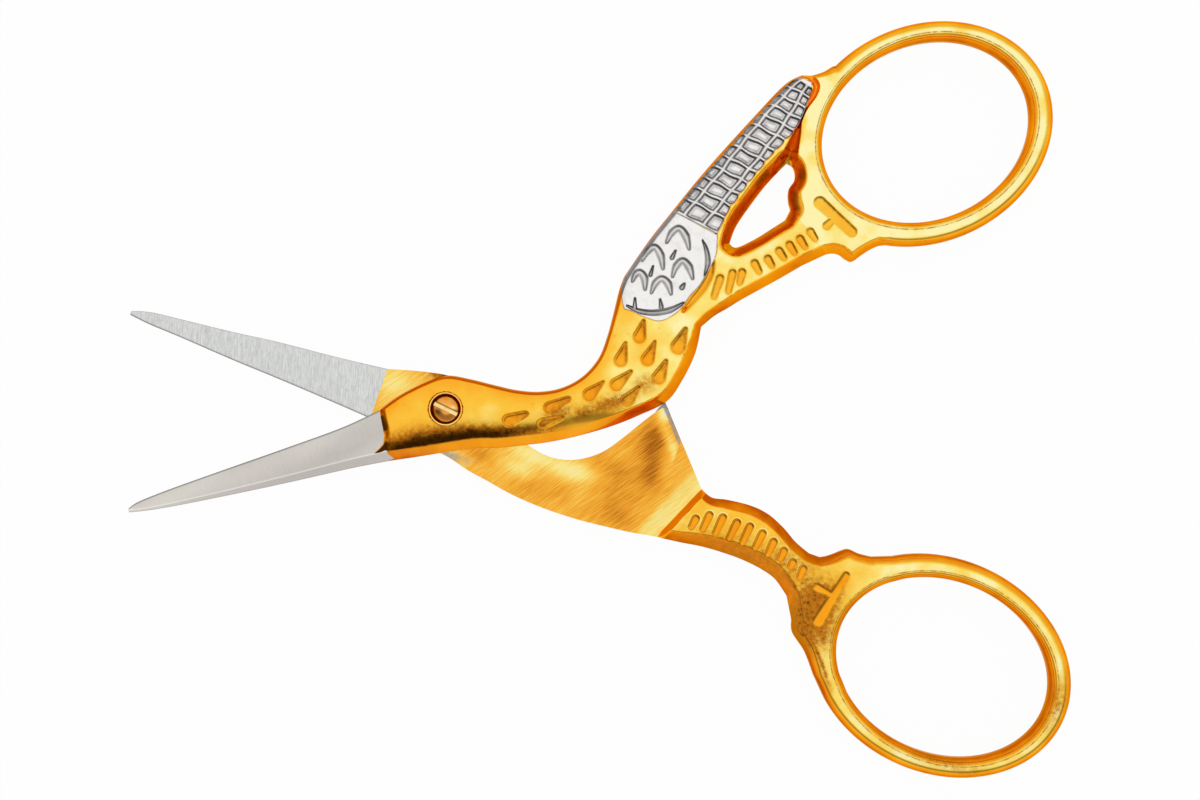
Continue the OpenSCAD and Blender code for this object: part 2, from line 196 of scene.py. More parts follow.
def nearest(x, y, line, value, reach=2.5):
    """Distance from each point to a line of short straight pieces, and the line's values at the nearest place. On a
    grid of rows, a piece is measured only against the run of rows that it comes near."""
    best = np.full(x.shape, 99.0)
    found = np.zeros(x.shape + (value.shape[1],)) + value[0]
    if x.ndim == 2:
        middle_x, middle_y = x.mean(1), y.mean(1)
        half = np.hypot(x[:, -1] - x[:, 0], y[:, -1] - y[:, 0]) / 2 + reach
    for a, b, va, vb in zip(line[:-1], line[1:], value[:-1], value[1:]):
        run = slice(None)
        if x.ndim == 2:
            close = np.flatnonzero(np.hypot(middle_x - a[0], middle_y - a[1]) < half)
            if not len(close):
                continue
            run = slice(close[0], close[-1] + 1)
        dx, dy = b - a
        px, py = x[run] - a[0], y[run] - a[1]
        s = np.clip((px * dx + py * dy) / max(dx * dx + dy * dy, 1e-12), 0, 1)
        d = np.hypot(px - s * dx, py - s * dy)
        near = d < best[run]
        best[run][near] = d[near]
        found[run][near] = (va + s[..., None] * (vb - va))[near]
    return best, found


def to_line(x, y, line, reach=2.5):
    """Distance from each point to a line."""
    line = np.array(line, float)
    return nearest(x, y, line, np.zeros((len(line), 1)), reach)[0]


def inside(x, y, loop):
    """True where a point lies in a closed outline: a line to the right of it crosses the outline an odd number of
    times."""
    odd = np.zeros(x.shape, bool)
    for a, b in zip(loop, np.roll(loop, -1, 0)):
        if a[1] != b[1]:
            crosses = (a[1] > y) != (b[1] > y)
            odd ^= crosses & (x < a[0] + (y - a[1]) / (b[1] - a[1]) * (b[0] - a[0]))
    return odd


def falling(line, widths, powers):
    """A real edge of a half: its line, and at each of its places the width of the fall towards it and how round the
    fall is, both blended between the given values."""
    at = np.linspace(0, 1, len(line))
    return line, np.stack([np.interp(at, np.linspace(0, 1, len(given)), given) for given in (widths, powers)], 1)


def edge(parts, widths, powers):
    """The same along smooth curves."""
    return falling(chain(*parts), widths, powers)


def around(ring, span, widths, powers):
    """The same for a part of an oval."""
    return falling(oval(ring, np.linspace(*span, ROUND_PLACES)), widths, powers)


# How round a fall is, as the power of its superellipse, the width of the neck's chamfer, and how far from a side of the
# neck distances to it are taken
CHAMFER = 1.1
SOFT = 1.5
ROUND = 2.1
NECK_CHAMFER = 0.88
NECK_REACH = 9.0
FRONT_EDGES = [
    edge([[FRONT_ROOT[0]] + NECK_BACK + [SHOULDER_BACK]], [0.3] * 12 + [0.35, 0.4, 0.45], [SOFT]),
    edge([WING_BACK, [WING_BACK[-1], TAIL_TIP[0]]], [0.45, 0.5, 0.5, 0.45], [SOFT]),
    edge([[FRONT_ROOT[1]] + NECK_BELLY + [SHOULDER_NOTCH]], [NECK_CHAMFER] * 14 + [0.6], [CHAMFER]),
    edge([LEG_BELLY, [LEG_BELLY[-1], FRONT_FOOT[1]], FRONT_SPUR], [0.6, 0.8, 0.8, 0.75, 0.7], [CHAMFER, CHAMFER, SOFT]),
    edge([WING_GAP], [0.9, 1.05, 1.1, 1.1], [CHAMFER]),
    edge([LEG_GAP, [LEG_GAP[-1], FRONT_FOOT[0]]], [0.9, 0.85, 0.85, 1], [CHAMFER]),
    edge([BOW_GAP], [1.0, 0.95, 0.95, 1.0, 1.05, 1.1, 1.1], [CHAMFER]),
    edge([NECKLINE], [0.8, 0.6, 0.4], [ROUND, SOFT]),
    around(FRONT_RING, FRONT_ROUND, [0.75, 0.85, 0.85, 0.8], [ROUND]),
    around(FRONT_HOLE, (0, 360), [0.62], [ROUND]),
]
GAP_EDGES = FRONT_EDGES[4:7]
BACK_EDGES = [
    edge([[BACK_ROOT[0]] + PLATE_BACK + [PLATE_CORNER]], [0.3] * 12 + [0.35, 0.4, 0.45], [SOFT]),
    edge([[BACK_ROOT[1]] + PLATE_BELLY + [PLATE_TURN]], [NECK_CHAMFER] * 14 + [0.8], [CHAMFER]),
    edge([[PLATE_TURN, PLATE_HEEL]], [0.8], [CHAMFER]),
    edge([[PLATE_CORNER, PLATE_NOTCH]], [0.25], [SOFT]),
    edge([BACK_LEG_TOP, [BACK_LEG_TOP[-1], BACK_FOOT[0]]], [0.5, 0.75, 0.8, 0.75, 0.7], [CHAMFER]),
    edge([BACK_LEG_LOW, [BACK_LEG_LOW[-1], BACK_FOOT[1]]], [0.8, 1.1, 1.3, 1.3, 1.1, 0.95], [CHAMFER]),
    edge([BACK_SPUR_TOP], [0.8, 0.75, 0.7], [ROUND, SOFT, CHAMFER]),
    edge([BACK_SPUR_LOW], [0.95, 0.85, 0.85], [CHAMFER, SOFT, ROUND]),
    around(BACK_RING, BACK_ROUND, [0.8, 0.85, 0.85, 0.8], [ROUND]),
    around(BACK_HOLE, (0, 360), [0.62], [ROUND]),
]
# Back and belly sides of the neck and of the plate
FRONT_SIDES = FRONT_EDGES[0][0], FRONT_EDGES[2][0]
BACK_SIDES = BACK_EDGES[0][0], BACK_EDGES[1][0]


def fall(x, y, edges):
    """Share of the full height over each point: the least of what the edges leave. Towards one edge the share is a
    superellipse, one less the power of what is left of the width, to one over that power."""
    share = np.ones(x.shape)
    for line, value in edges:
        d, found = nearest(x, y, line, value)
        left = 1 - np.clip(d / found[..., 0], 0, 1)
        power = found[..., 1]
        share = np.minimum(share, (1 - left**power) ** (1 / power))
    return share


def over_neck(x, y, sides):
    """Place of each point across the neck: 0 on the crest over the belly chamfer and 1 on the back edge."""
    to_back, to_belly = (to_line(x, y, side, NECK_REACH) for side in sides)
    return np.clip((to_belly - NECK_CHAMFER) / np.maximum(to_back + to_belly - NECK_CHAMFER, 0.1), -0.2, 1)


def dome(x, y, sides):
    """How far the rounded neck falls below its top: the fourth power of the closeness to the crest, and a little
    towards the back. It is lower at the blade, whose crest it meets, and fades out before the shoulder."""
    across = np.maximum(over_neck(x, y, sides), 0)
    crest = 0.26 + 0.34 * step(-6, -3.2, x)
    return (1 - step(10, 18, x)) * (crest * (1 - across) ** 4 + 0.18 * across**3)


def full_up(x, y, sides):
    """Height of a half's outer face from the middle, where no edge is near."""
    return LEG_UP + (BOW_UP - LEG_UP) * step(*BOW_RISE, x) - dome(x, y, sides)


# Bloom among the feathers of the neck, as [place, half lengths, how much], and the most of the painted dark reflection
# in the band below them
NECK_BLOOM = [((13.9, -3.9), (2.0, 0.6), 0.62), ((9.3, -3.3), (1.2, 0.6), 0.5), ((11.6, -3.9), (1.2, 0.6), 0.5),
              ((17.3, -3.2), (0.9, 0.7), 0.4)]
PAINTED_BAND_DARK = 0.97


def smoke(x, y, sides):
    """Share of dark colour in the plating: a painted dark reflection in a band that stands on the crest of the neck and
    fades upwards, and patches of bloom among the feathers."""
    across = over_neck(x, y, sides)
    along = step(-6.6, -5.6, x) * (1 - step(3.0, 11.0, x))
    high = 0.17 + 0.09 * step(2, -5, x)
    band = along * step(-0.02, 0.01, across) * glow(np.maximum(across - 0.06, 0), high, 2.5)
    return np.maximum.reduce([PAINTED_BAND_DARK * band] + [most * blot(x, y, place, half) for place, half, most in NECK_BLOOM])


def warm_neck(x, y, sides):
    """Share of redder gold: it deepens towards the back edge of the neck and towards the head."""
    across = np.maximum(over_neck(x, y, sides), 0)
    return (1 - 0.5 * step(10, 17, x)) * np.clip(across**2 + 0.55 * step(2.5, -5, x) * (1 - across), 0, 1)


# Forged feathers, as the centre of the round end, that of the narrow end, and their radii
DROPS = [((4.98, -2.65), (6.5, -2.55), 0.6, 0.32), ((8.75, -2.69), (10.45, -2.42), 0.6, 0.3),
         ((7.73, -3.84), (9.4, -3.79), 0.54, 0.24), ((12.37, -2.6), (13.85, -1.92), 0.6, 0.14),
         ((18.07, 0.87), (18.85, 2.1), 0.58, 0.16), ((15.88, -0.58), (16.74, 0.72), 0.6, 0.15),
         ((18.15, -1.22), (19.2, 0.04), 0.6, 0.16), ((21.03, -0.98), (22.1, 0.3), 0.68, 0.22),
         ((18.62, -3.02), (19.65, -1.84), 0.62, 0.18), ((14.9, -2.49), (16.4, -1.81), 0.6, 0.2),
         ((15.34, -4.12), (16.6, -3.35), 0.6, 0.2)]
# Short grooves of each leg, by their tips, and the twig marks, by their tips and radii
FRONT_GROOVES = [((26.54, 3.91), (25.13, 1.97)), ((27.69, 4.02), (26.5, 2.02)), ((28.51, 3.84), (27.66, 2.44)),
                 ((29.53, 4.31), (29.84, 2.78)), ((30.73, 4.33), (31.08, 2.95)), ((31.87, 4.68), (32.3, 3.27)),
                 ((32.9, 4.91), (33.31, 3.43)), ((33.93, 5.14), (34.33, 3.66)), ((34.98, 5.45), (35.4, 4.04))]
FRONT_TWIG = [((36.36, 7.79), (38.82, 3.51), 0.56, 0.48), ((36.25, 5.0), (37.75, 5.75), 0.38, 0.28)]
BACK_GROOVES = [((23.79, -2.53), (23.48, -4.03)), ((24.82, -1.87), (24.51, -3.95)), ((26.01, -1.74), (25.68, -3.95)),
                ((27.33, -1.81), (26.94, -4.04)), ((28.5, -1.81), (28.17, -4.02)), ((29.75, -2.08), (29.37, -4.13)),
                ((30.87, -2.5), (30.61, -4.34)), ((31.96, -2.99), (31.76, -4.46)), ((33.01, -3.73), (32.81, -4.85)),
                ((34.03, -4.01), (33.84, -5.53))]
BACK_TWIG = [((36.45, -8.9), (37.85, -3.25), 0.56, 0.34), ((35.2, -5.5), (37.3, -5.85), 0.42, 0.28)]
DROP_DEEP = 0.18
GROOVE_R = 0.37
GROOVE_DEEP = 0.11
TWIG_DEEP = 0.11
# Height of the burr round a pit, how far out it stands, and how wide it is
BURR = 0.013
BURR_OUT = 0.07
BURR_WIDE = 0.055
# Share of a pit's radius that its wall takes
WALL_SHARE = 0.62
# Depth at which a pit's painted shade is as deep in colour as it gets
FULL_TONE = 0.13


def drop_shape(x, y, start, end, r0, r1):
    """Signed distance to the outline of a drop, negative inside: the outline is the hull of a circle of radius r0 at
    the start and one of radius r1 at the end."""
    axis = np.array(end, float) - start
    h = math.hypot(*axis)
    axis = axis / h
    px, py = x - start[0], y - start[1]
    along = px * axis[0] + py * axis[1]
    off = np.abs(px * axis[1] - py * axis[0])
    lean = (r0 - r1) / h
    upright = math.sqrt(1 - lean * lean)
    k = along * upright - off * lean
    sides = off * upright + along * lean - r0
    return np.where(k < 0, np.hypot(off, along) - r0, np.where(k > upright * h, np.hypot(off, along - h) - r1, sides))


def pit(x, y, start, end, r0, r1, deep, high=BURR):
    """Depth of one forged pit: its walls round off into a level floor, as one less the square of what is left of the
    wall, with a thin burr thrown up round it, stronger on the side of its round end."""
    d = drop_shape(x, y, start, end, r0, r1)
    bowl = deep * (1 - (1 - np.clip(-d / (WALL_SHARE * r0), 0, 1)) ** 2)
    ahead = (x - start[0]) * (start[0] - end[0]) + (y - start[1]) * (start[1] - end[1])
    return bowl - high * (0.6 + 0.4 * np.tanh(2 * ahead)) * glow(d - BURR_OUT, BURR_WIDE)


def ends_in(start, end, r):
    """The two centres of a groove's round ends, set in from its tips by the radius."""
    a, b = np.array(start, float), np.array(end, float)
    u = (b - a) / math.hypot(*(b - a))
    return a + u * r, b - u * r


def marks(x, y, grooves, twig, burr=BURR):
    """Depth of all the pits of a half at each point."""
    deep = np.zeros(x.shape)
    for start, end, r0, r1 in DROPS:
        deep += pit(x, y, start, end, r0, r1, DROP_DEEP, burr)
    for start, end in grooves:
        deep += pit(x, y, *ends_in(start, end, GROOVE_R), GROOVE_R, GROOVE_R * 0.8, GROOVE_DEEP, burr)
    branches = np.zeros(x.shape)
    for start, end, r0, r1 in twig:
        branches = np.maximum(branches, pit(x, y, *ends_in(start, end, r0), r0, r1, TWIG_DEEP, burr))
    return deep + branches


# The silver: its left and right borders as pairs of points, from the low tip of the shield to the start of the
# feathers, and the pair at the shoulder
SHIELD_LEFT = [(17.5, 3.62), (17.52, 4.1), (17.66, 4.85), (17.85, 5.45), (18.46, 6.3), (19.5, 7.15), (20.6, 8.0),
               (21.75, 8.82), (23.0, 9.68), (24.2, 10.47)]
SHIELD_RIGHT = [(17.56, 3.55), (18.1, 3.2), (19.07, 2.33), (20.3, 1.62), (22.0, 1.97), (23.3, 2.9), (24.55, 3.65),
                (25.75, 4.75), (26.62, 5.7), (27.25, 7.3)]
SHOULDER_PAIR = 4

# The feathers, measured along w = (x + y) / root 2 and across v = (x - y) / root 2: the lines between rows by w, and
# the outer border, the two lines between columns and the inner border, each by w and v
ROOT2 = math.sqrt(2)
ROW_LINES = [24.6, 26.05, 27.27, 28.48, 29.7, 30.9, 32.1, 33.33, 34.54, 35.69, 36.76, 37.85, 38.85, 39.75]
GRID_W = [24.47, 26.94, 29.49, 32.53, 35.53, 37.0, 38.18, 39.49, 40.1]
GRID_OUT = [9.62, 10.11, 10.68, 11.46, 12.27, 12.69, 13.01, 13.54, 14.0]
GRID_ONE = [10.7, 11.23, 11.83, 12.33, 12.96, 13.4, 13.72, 14.2, 14.45]
GRID_TWO = [12.6, 13.1, 13.65, 14.28, 14.8, 14.9, 14.95, 15.05, 15.0]
GRID_END = [14.06, 14.07, 14.47, 15.1, 15.98, 15.95, 15.8, 15.75, 15.3]
CELL_DEEP = 0.17
RIDGE_DEEP = 0.015
FLOOR_UP = 0.06

# Marks of the shield: crescents by top and feet, small marks and humps as pits, and the claw and the border groove.
# Each groove has its half widths, from its start to its end. How far a crescent bulges, the depths of the crescents, of
# the pits and the claw, and of the border groove, and the depth at which a mark is as dark as it gets.
ARCH_OUT = 0.24
CRESCENT_DEEP = 0.12
CLAW_DEEP = 0.14
SHIELD_GROOVE_DEEP = 0.15
SHIELD_TONE = 0.23
CRESCENTS = [((24.24, 8.87), (22.81, 8.0), (24.52, 6.88)), ((21.72, 7.94), (20.31, 7.15), (21.82, 5.93)),
             ((23.68, 6.08), (22.39, 5.0), (24.03, 4.32)), ((19.85, 6.22), (18.94, 5.68), (19.78, 4.68)),
             ((21.48, 5.13), (20.21, 4.21), (21.83, 3.61))]
CRESCENT_HALF = [0.12, 0.32, 0.29, 0.37, 0.15]
# Half widths of the painted highlight along the floor of each crescent
SHINE_HALF = [0.02, 0.05, 0.07, 0.06, 0.02]
SMALL_MARKS = [((22.86, 6.59), (23.34, 7.09), 0.2), ((20.61, 5.73), (21.07, 6.41), 0.17),
               ((22.9, 3.85), (23.2, 4.1), 0.24)]
HUMPS = [((18.45, 3.45), (18.71, 4.2), 0.2), ((20.66, 2.75), (20.77, 3.45), 0.2)]
CLAW = [(25.86, 7.3), (25.93, 6.4), (25.74, 5.3), (25.12, 4.22)]
CLAW_HALF = [0.04, 0.2, 0.27, 0.1]
SHIELD_GROOVE = [(17.85, 3.8), (18.68, 3.05), (19.91, 2.49), (21.33, 2.29), (22.64, 2.53)]
SHIELD_GROOVE_HALF = [0.1, 0.24, 0.28, 0.28, 0.1]
# Grooves in the gold, with their half widths and depths: along the shield, round the tail, and the valley that runs up
# from the gap under the tail
GOLD_GROOVE = [(22.4, 1.85), (23.5, 2.62), (24.6, 3.35), (25.55, 4.25), (26.1, 5.1)]
GOLD_GROOVE_HALF = [0.15, 0.38, 0.44, 0.4, 0.2]
GOLD_GROOVE_DEEP = 0.22
TAIL_GROOVE = [(38.54, 18.41), (39.2, 17.87), (39.45, 17.13), (38.97, 16.38), (37.86, 15.49), (36.9, 14.2)]
TAIL_GROOVE_HALF = [0.1, 0.3, 0.3, 0.26, 0.22, 0.1]
TAIL_GROOVE_DEEP = 0.4
VALLEY = [(34.6, 10.9), (35.05, 11.5), (35.75, 12.5), (36.6, 13.7), (37.3, 14.75)]
VALLEY_HALF = [1.0, 0.9, 0.6, 0.35, 0.04]
VALLEY_DEEP = 1.25

# Share of painted shade, brown, on the walls of the gap between wing and leg
GAP_PAINTED_SHADE = 0.22


def near_gap(x, y, low, high):
    """Closeness to the gap between wing and leg: 1 up to the low share of the fall's width from its edges, and 0 from
    the high one on."""
    share = np.zeros(x.shape)
    for line, value in GAP_EDGES:
        d, found = nearest(x, y, line, value)
        share = np.maximum(share, 1 - step(low, high, d / found[..., 0]))
    return share


def warm_gap(x, y):
    """Share of redder gold: less than their steepness gives on the walls of the gap between wing and leg, and more in
    the valley over it."""
    valley = to_line(x, y, chain(VALLEY, per=PER_GROOVE))
    return 0.35 * (1 - step(0.25, 0.8, valley)) - 0.12 * near_gap(x, y, 0.85, 1.05)


def smoke_gap(x, y):
    """Painted shade, brown, on the walls of the gap."""
    return GAP_PAINTED_SHADE * near_gap(x, y, 0.7, 1.0)


def groove(x, y, points, half, deep, shape=1.0, taper=False):
    """Depth of a groove along a smooth line. The half width is blended between the given ones, and the depth falls off
    from the line as a straight or rounded V. A tapered groove is as much shallower as it is narrower."""
    line = chain(points, per=PER_GROOVE)
    value = np.interp(np.linspace(0, 1, len(line)), np.linspace(0, 1, len(half)), half)[:, None]
    d, w = nearest(x, y, line, value)
    wide = w[..., 0]
    return deep * (wide / max(half) if taper else 1) * np.clip(1 - (d / wide) ** shape, 0, 1)


def arch(top, left, right):
    """Five points of a horseshoe from its left foot over its top to its right foot: between them it bulges
    outwards."""
    top, left, right = np.array(top), np.array(left), np.array(right)
    heart = (left + right) / 2

    def bulge(p):
        """The middle between a foot and the top, moved outwards."""
        middle = (p + top) / 2
        out = middle - heart
        return middle + out / math.hypot(*out) * ARCH_OUT

    return [tuple(p) for p in (left, bulge(left), top, bulge(right), right)]


def shield_marks(x, y):
    """Depth of the crescents, claw, border groove and small marks of the silver shield."""
    deep = [groove(x, y, arch(*crescent), CRESCENT_HALF, CRESCENT_DEEP, 2.4) for crescent in CRESCENTS]
    deep.append(groove(x, y, CLAW, CLAW_HALF, CLAW_DEEP, 2.2))
    deep.append(groove(x, y, SHIELD_GROOVE, SHIELD_GROOVE_HALF, SHIELD_GROOVE_DEEP, 2.2))
    deep += [pit(x, y, start, end, r, r * 0.5, CLAW_DEEP) for start, end, r in SMALL_MARKS + HUMPS]
    return np.maximum.reduce([np.zeros(x.shape)] + deep)


def feather_row(w):
    """The feather row at each w, and the share of the way through it."""
    row = np.interp(w, ROW_LINES, np.arange(len(ROW_LINES)))
    return np.floor(row), row - np.floor(row)


def feather_place(x, y):
    """Places along and across the feathers, both a little wavy."""
    w, v = (x + y) / ROOT2, (x - y) / ROOT2
    return w + 0.05 * np.sin(3.1 * v + 1.7 * w), v + 0.05 * np.sin(2.3 * w)


def to_feather_line(x, y):
    """Distance from each point to the nearest line between two feather rows or columns."""
    w, v = feather_place(x, y)
    row, part = feather_row(w)
    pitch = np.gradient(ROW_LINES)[np.clip(row.astype(int), 0, len(ROW_LINES) - 1)]
    to_row = np.minimum(part, 1 - part) * pitch
    one, two = np.interp(w, GRID_W, GRID_ONE), np.interp(w, GRID_W, GRID_TWO)
    return np.minimum(to_row * 1.15, np.minimum(np.abs(v - one), np.abs(v - two)))


def feather_marks(x, y):
    """Depth of the feather rows: each cell is a pocket with sloping sides and a faintly raised floor, and the lines
    between cells are double ridges with a fine groove along their middle."""
    line = to_feather_line(x, y)
    return CELL_DEEP * step(0.09, 0.3, line) + RIDGE_DEEP * glow(line, 0.03) - FLOOR_UP * step(0.25, 0.6, line)


def feather_border(w):
    """Left and right borders of the feathers at each w, notched on the row lines: the notch is the cube of a share
    that swings from 0 in the middle of a row to 1 on the line."""
    notch = np.abs(2 * feather_row(w)[1] - 1) ** 3
    left = np.interp(w, GRID_W, GRID_OUT) + 0.12 + 0.28 * notch * step(27, 32, w) * (1 - step(37.4, 38.4, w))
    right = np.interp(w, GRID_W, GRID_END) - 0.02 - 0.2 * notch * step(25.6, 26.6, w) * (1 - step(35.5, 36.5, w))
    return left, right


def from_wv(w, v):
    """Back from along and across the feathers to X and Y."""
    return np.stack([(w + v) / ROOT2, (w - v) / ROOT2], -1)


def silver_loop():
    """The whole outline of the silver, closed, for the pocket in the gold under it."""
    w = np.linspace(GRID_W[0] + 0.1, GRID_W[-1], LOOP_PLACES)
    left, right = (from_wv(w, v) for v in feather_border(w))
    shield_left, shield_right = (chain(side, per=PER_GROOVE) for side in (SHIELD_LEFT, SHIELD_RIGHT))
    return np.concatenate([shield_right, right, left[::-1], shield_left[::-1], shield_right[:1]])


SILVER_LOOP = silver_loop()


def pocketed(x, y, up, least):
    """A height less the pocket that the silver fills: none at its border, full a little way inside it, and never below
    the least height."""
    within = np.where(inside(x, y, SILVER_LOOP[:-1]), to_line(x, y, SILVER_LOOP), 0)
    return np.maximum(up - SILVER_POCKET * step(0.06, 0.16, within), np.minimum(up, least))


def front_outer(x, y):
    """Height of the front half's decorated face above the middle."""
    share = fall(x, y, FRONT_EDGES)
    deep = marks(x, y, FRONT_GROOVES, FRONT_TWIG)
    deep += groove(x, y, GOLD_GROOVE, GOLD_GROOVE_HALF, GOLD_GROOVE_DEEP, SOFT)
    deep += groove(x, y, TAIL_GROOVE, TAIL_GROOVE_HALF, TAIL_GROOVE_DEEP, SOFT)
    deep = deep * step(0.25, 0.9, share) + groove(x, y, VALLEY, VALLEY_HALF, VALLEY_DEEP, 1.2, taper=True) * share
    return pocketed(x, y, LAND + (full_up(x, y, FRONT_SIDES) - LAND) * share - deep, WING_LEAST)


def back_outer(x, y):
    """Height of the back half's decorated face from the middle."""
    share = fall(x, y, BACK_EDGES)
    deep = marks(x, y, BACK_GROOVES, BACK_TWIG) * step(0.25, 0.9, share)
    return pocketed(x, y, LAND + (full_up(x, y, BACK_SIDES) - LAND) * share - deep, PLATE_LEAST)


# How much a piece is turned in plan, by half, and the sharpest bend between its faces that is shaded smooth
TURNS = {"front_half": HALF_OPENING, "back_half": -HALF_OPENING}
SHARP = math.radians(38)
# Side of the picture that the pit walls with painted shade lie on, from +X, and how fast it darkens them as they lean
SHADE_SIDE = math.radians(40)
SHADE_FULL = 1.5


def turned(x, y, angle):
    """Places turned in plan about the pivot."""
    return x * math.cos(angle) - y * math.sin(angle), x * math.sin(angle) + y * math.cos(angle)


def rows(left, right, across):
    """Grid of points on straight rows from the left to the right edge, at the given shares of each row."""
    share = np.asarray(across)[None, :, None]
    plan = left[:, None] * (1 - share) + right[:, None] * share
    return plan[..., 0], plan[..., 1]


def spread(count, crowd=0.5):
    """Shares from 0 to 1, closer together near both ends: a blend of even steps and half a cosine wave."""
    even = np.linspace(0, 1, count)
    return (1 - crowd) * even + crowd * (1 - np.cos(math.pi * even)) / 2


def border(index, loop):
    """The border of a grid as closed lists of grid places."""
    if loop:
        return [index[:, 0], index[::-1, -1]]
    return [np.concatenate([index[:-1, 0], index[-1, :-1], index[:0:-1, -1], index[0, :0:-1]])]


def tilt(x, y, z, loop, towards):
    """How steep a grid surface is, one less the upright share of its normal, which is the cross product of the grid's
    two directions, and how much its upward normal leans towards a direction in plan."""
    if loop:
        x, y, z = (np.concatenate([a[-2:], a, a[:2]]) for a in (x, y, z))
    du, dv = (np.stack([np.gradient(a, axis=axis) for a in (x, y, z)], -1) for axis in (0, 1))
    normal = np.cross(du, dv)
    long = np.maximum(np.linalg.norm(normal, axis=-1), 1e-9)[..., None]
    normal = normal * np.where(normal[..., 2:] < 0, -1, 1) / long
    found = [1 - normal[..., 2], normal[..., 0] * towards[0] + normal[..., 1] * towards[1]]
    return [(a[2:-2] if loop else a).ravel() for a in found]


def solid(name, body, slot, materials, x, y, high, low, loop=False, side_walls=1, **looks):
    """A closed solid over a grid in plan. Its top is the height `high` over each point and its underside the height
    `low`, and upright walls join their borders. A `low` of one number gives one flat underside. The second material,
    where there is one, is for the underside and, unless side_walls is 0, for the walls. Its looks are the sunk, dark
    and warm shares, each a function of the plan, or two of them for its top and its underside. In a pit, the wall on
    the upper right side of the picture gets painted shade in the dark share, as if lit from the upper right."""
    n, m = x.shape
    index = np.arange(n * m).reshape(n, m)
    wrapped = np.concatenate([index, index[:1]]) if loop else index
    quads = np.stack([wrapped[:-1, :-1], wrapped[:-1, 1:], wrapped[1:, 1:], wrapped[1:, :-1]], -1).reshape(-1, 4)
    rings = border(index, loop)
    flat_low = np.isscalar(low)
    if flat_low:
        under = np.column_stack([a.ravel()[rings[0]] for a in (x, y, np.full(x.shape, low))])
        below = [n * m + np.arange(len(under))]
        floor_faces = [below[0][::-1].tolist()]
    else:
        under = np.stack([x, y, low], -1).reshape(-1, 3)
        below = [ring + n * m for ring in rings]
        floor_faces = (quads[:, ::-1] + n * m).tolist()
    points = np.concatenate([np.stack([x, y, high], -1).reshape(-1, 3), under])
    walls = [np.stack([np.roll(r, -1), r, b, np.roll(b, -1)], -1) for r, b in zip(rings, below)]
    faces = np.concatenate([quads] + walls).tolist() + floor_faces
    corners = points[quads][:, :, :2]
    if np.sum(np.cross(corners[:, 2] - corners[:, 0], corners[:, 3] - corners[:, 1])) < 0:
        faces = [face[::-1] for face in faces]
    away = np.array(turned(-1, 0, SHADE_SIDE - TURNS[body]))
    over_tilt = tilt(x, y, high, loop, away)
    under_tilt = [np.zeros(len(under))] * 2 if flat_low else tilt(x, y, low, loop, -away)
    steep, lean = (np.concatenate(pair) for pair in zip(over_tilt, under_tilt))
    shares = {"steep": steep}
    for key in ("sunk", "smoke", "warm"):
        look = looks.get(key)
        above, beneath = look if isinstance(look, tuple) else (look, look)
        made = np.zeros(len(points))
        if above is not None:
            made[:n * m] = above(x, y).ravel()
        if beneath is not None and not flat_low:
            made[n * m:] = made[:n * m] if beneath is above else beneath(x, y).ravel()
        shares[key] = made
    # Painted shade: pit walls on the upper right, leaning away from the light, are darkened in the dark share
    in_shade = SHADE_FULL * np.clip(lean - 0.1, 0, 1) * np.clip(3 * shares["sunk"], 0, 1)
    shares["smoke"] = np.maximum(shares["smoke"], np.clip(in_shade, 0, 0.9))
    finish = np.repeat([0, side_walls, 1], [len(quads), sum(map(len, rings)), len(floor_faces)])
    return piece_of(name, body, materials, points, faces, shares, finish)


def object_of(name, points, faces):
    """A new mesh object."""
    mesh = bpy.data.meshes.new(name)
    mesh.from_pydata(points, [], faces)
    made = bpy.data.objects.new(name, mesh)
    bpy.context.scene.collection.objects.link(made)
    return made


def piece_of(name, body, materials, points, faces, shares, finish=None):
    """The mesh object of a piece. It keeps its plan in millimetres, and how steep, sunk, dark (bloom and painted shade)
    and warm each place is, as attributes for its material, and is turned in plan with its half."""
    placed = np.column_stack([*turned(points[:, 0], points[:, 1], TURNS[body]), points[:, 2]])
    piece = object_of(name, (placed * MM).tolist(), faces)
    mesh = piece.data
    mesh.polygons.foreach_set("use_smooth", np.ones(len(mesh.polygons), bool))
    mesh.set_sharp_from_angle(angle=SHARP)
    mesh.update()
    plan = mesh.attributes.new("plan", "FLOAT_VECTOR", "POINT")
    plan.data.foreach_set("vector", points.astype(np.float32).ravel())
    for key, value in shares.items():
        made = mesh.attributes.new(key, "FLOAT", "POINT")
        made.data.foreach_set("value", np.clip(value, -1, 1).astype(np.float32))
    materials = materials if isinstance(materials, tuple) else (materials,)
    for material in materials:
        mesh.materials.append(material)
    if len(materials) > 1:
        mesh.polygons.foreach_set("material_index", finish.astype(np.int32))
    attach(piece, body)
    return piece


def put(tree, kind, **settings):
    """A new shader node; a setting is a property of the node, or the default of the input of that name."""
    made = tree.nodes.new(kind)
    for key, value in settings.items():
        if hasattr(made, key):
            setattr(made, key, value)
        else:
            made.inputs[key.replace("_", " ")].default_value = value
    return made


def fill(socket, value):
    """A value, a number or a colour into an input."""
    if isinstance(value, Value):
        socket.id_data.links.new(value.socket, socket)
    else:
        socket.default_value = value + (1,) if isinstance(value, tuple) else value


class Value:
    """A value or a colour that a material works out. Each sum on it is one more node."""

    def __init__(self, socket):
        """The output that gives the value."""
        self.socket = socket

    def sum(self, kind, first, second):
        """What a math node makes of two values, either of which may be a number."""
        made = put(self.socket.id_data, "ShaderNodeMath", operation=kind)
        fill(made.inputs[0], first)
        fill(made.inputs[1], second)
        return Value(made.outputs[0])

    def __rsub__(self, other):
        """A number less the value."""
        return self.sum("SUBTRACT", other, self)

    def held(self):
        """The same, with the result of its sum held between 0 and 1."""
        self.socket.node.use_clamp = True
        return self


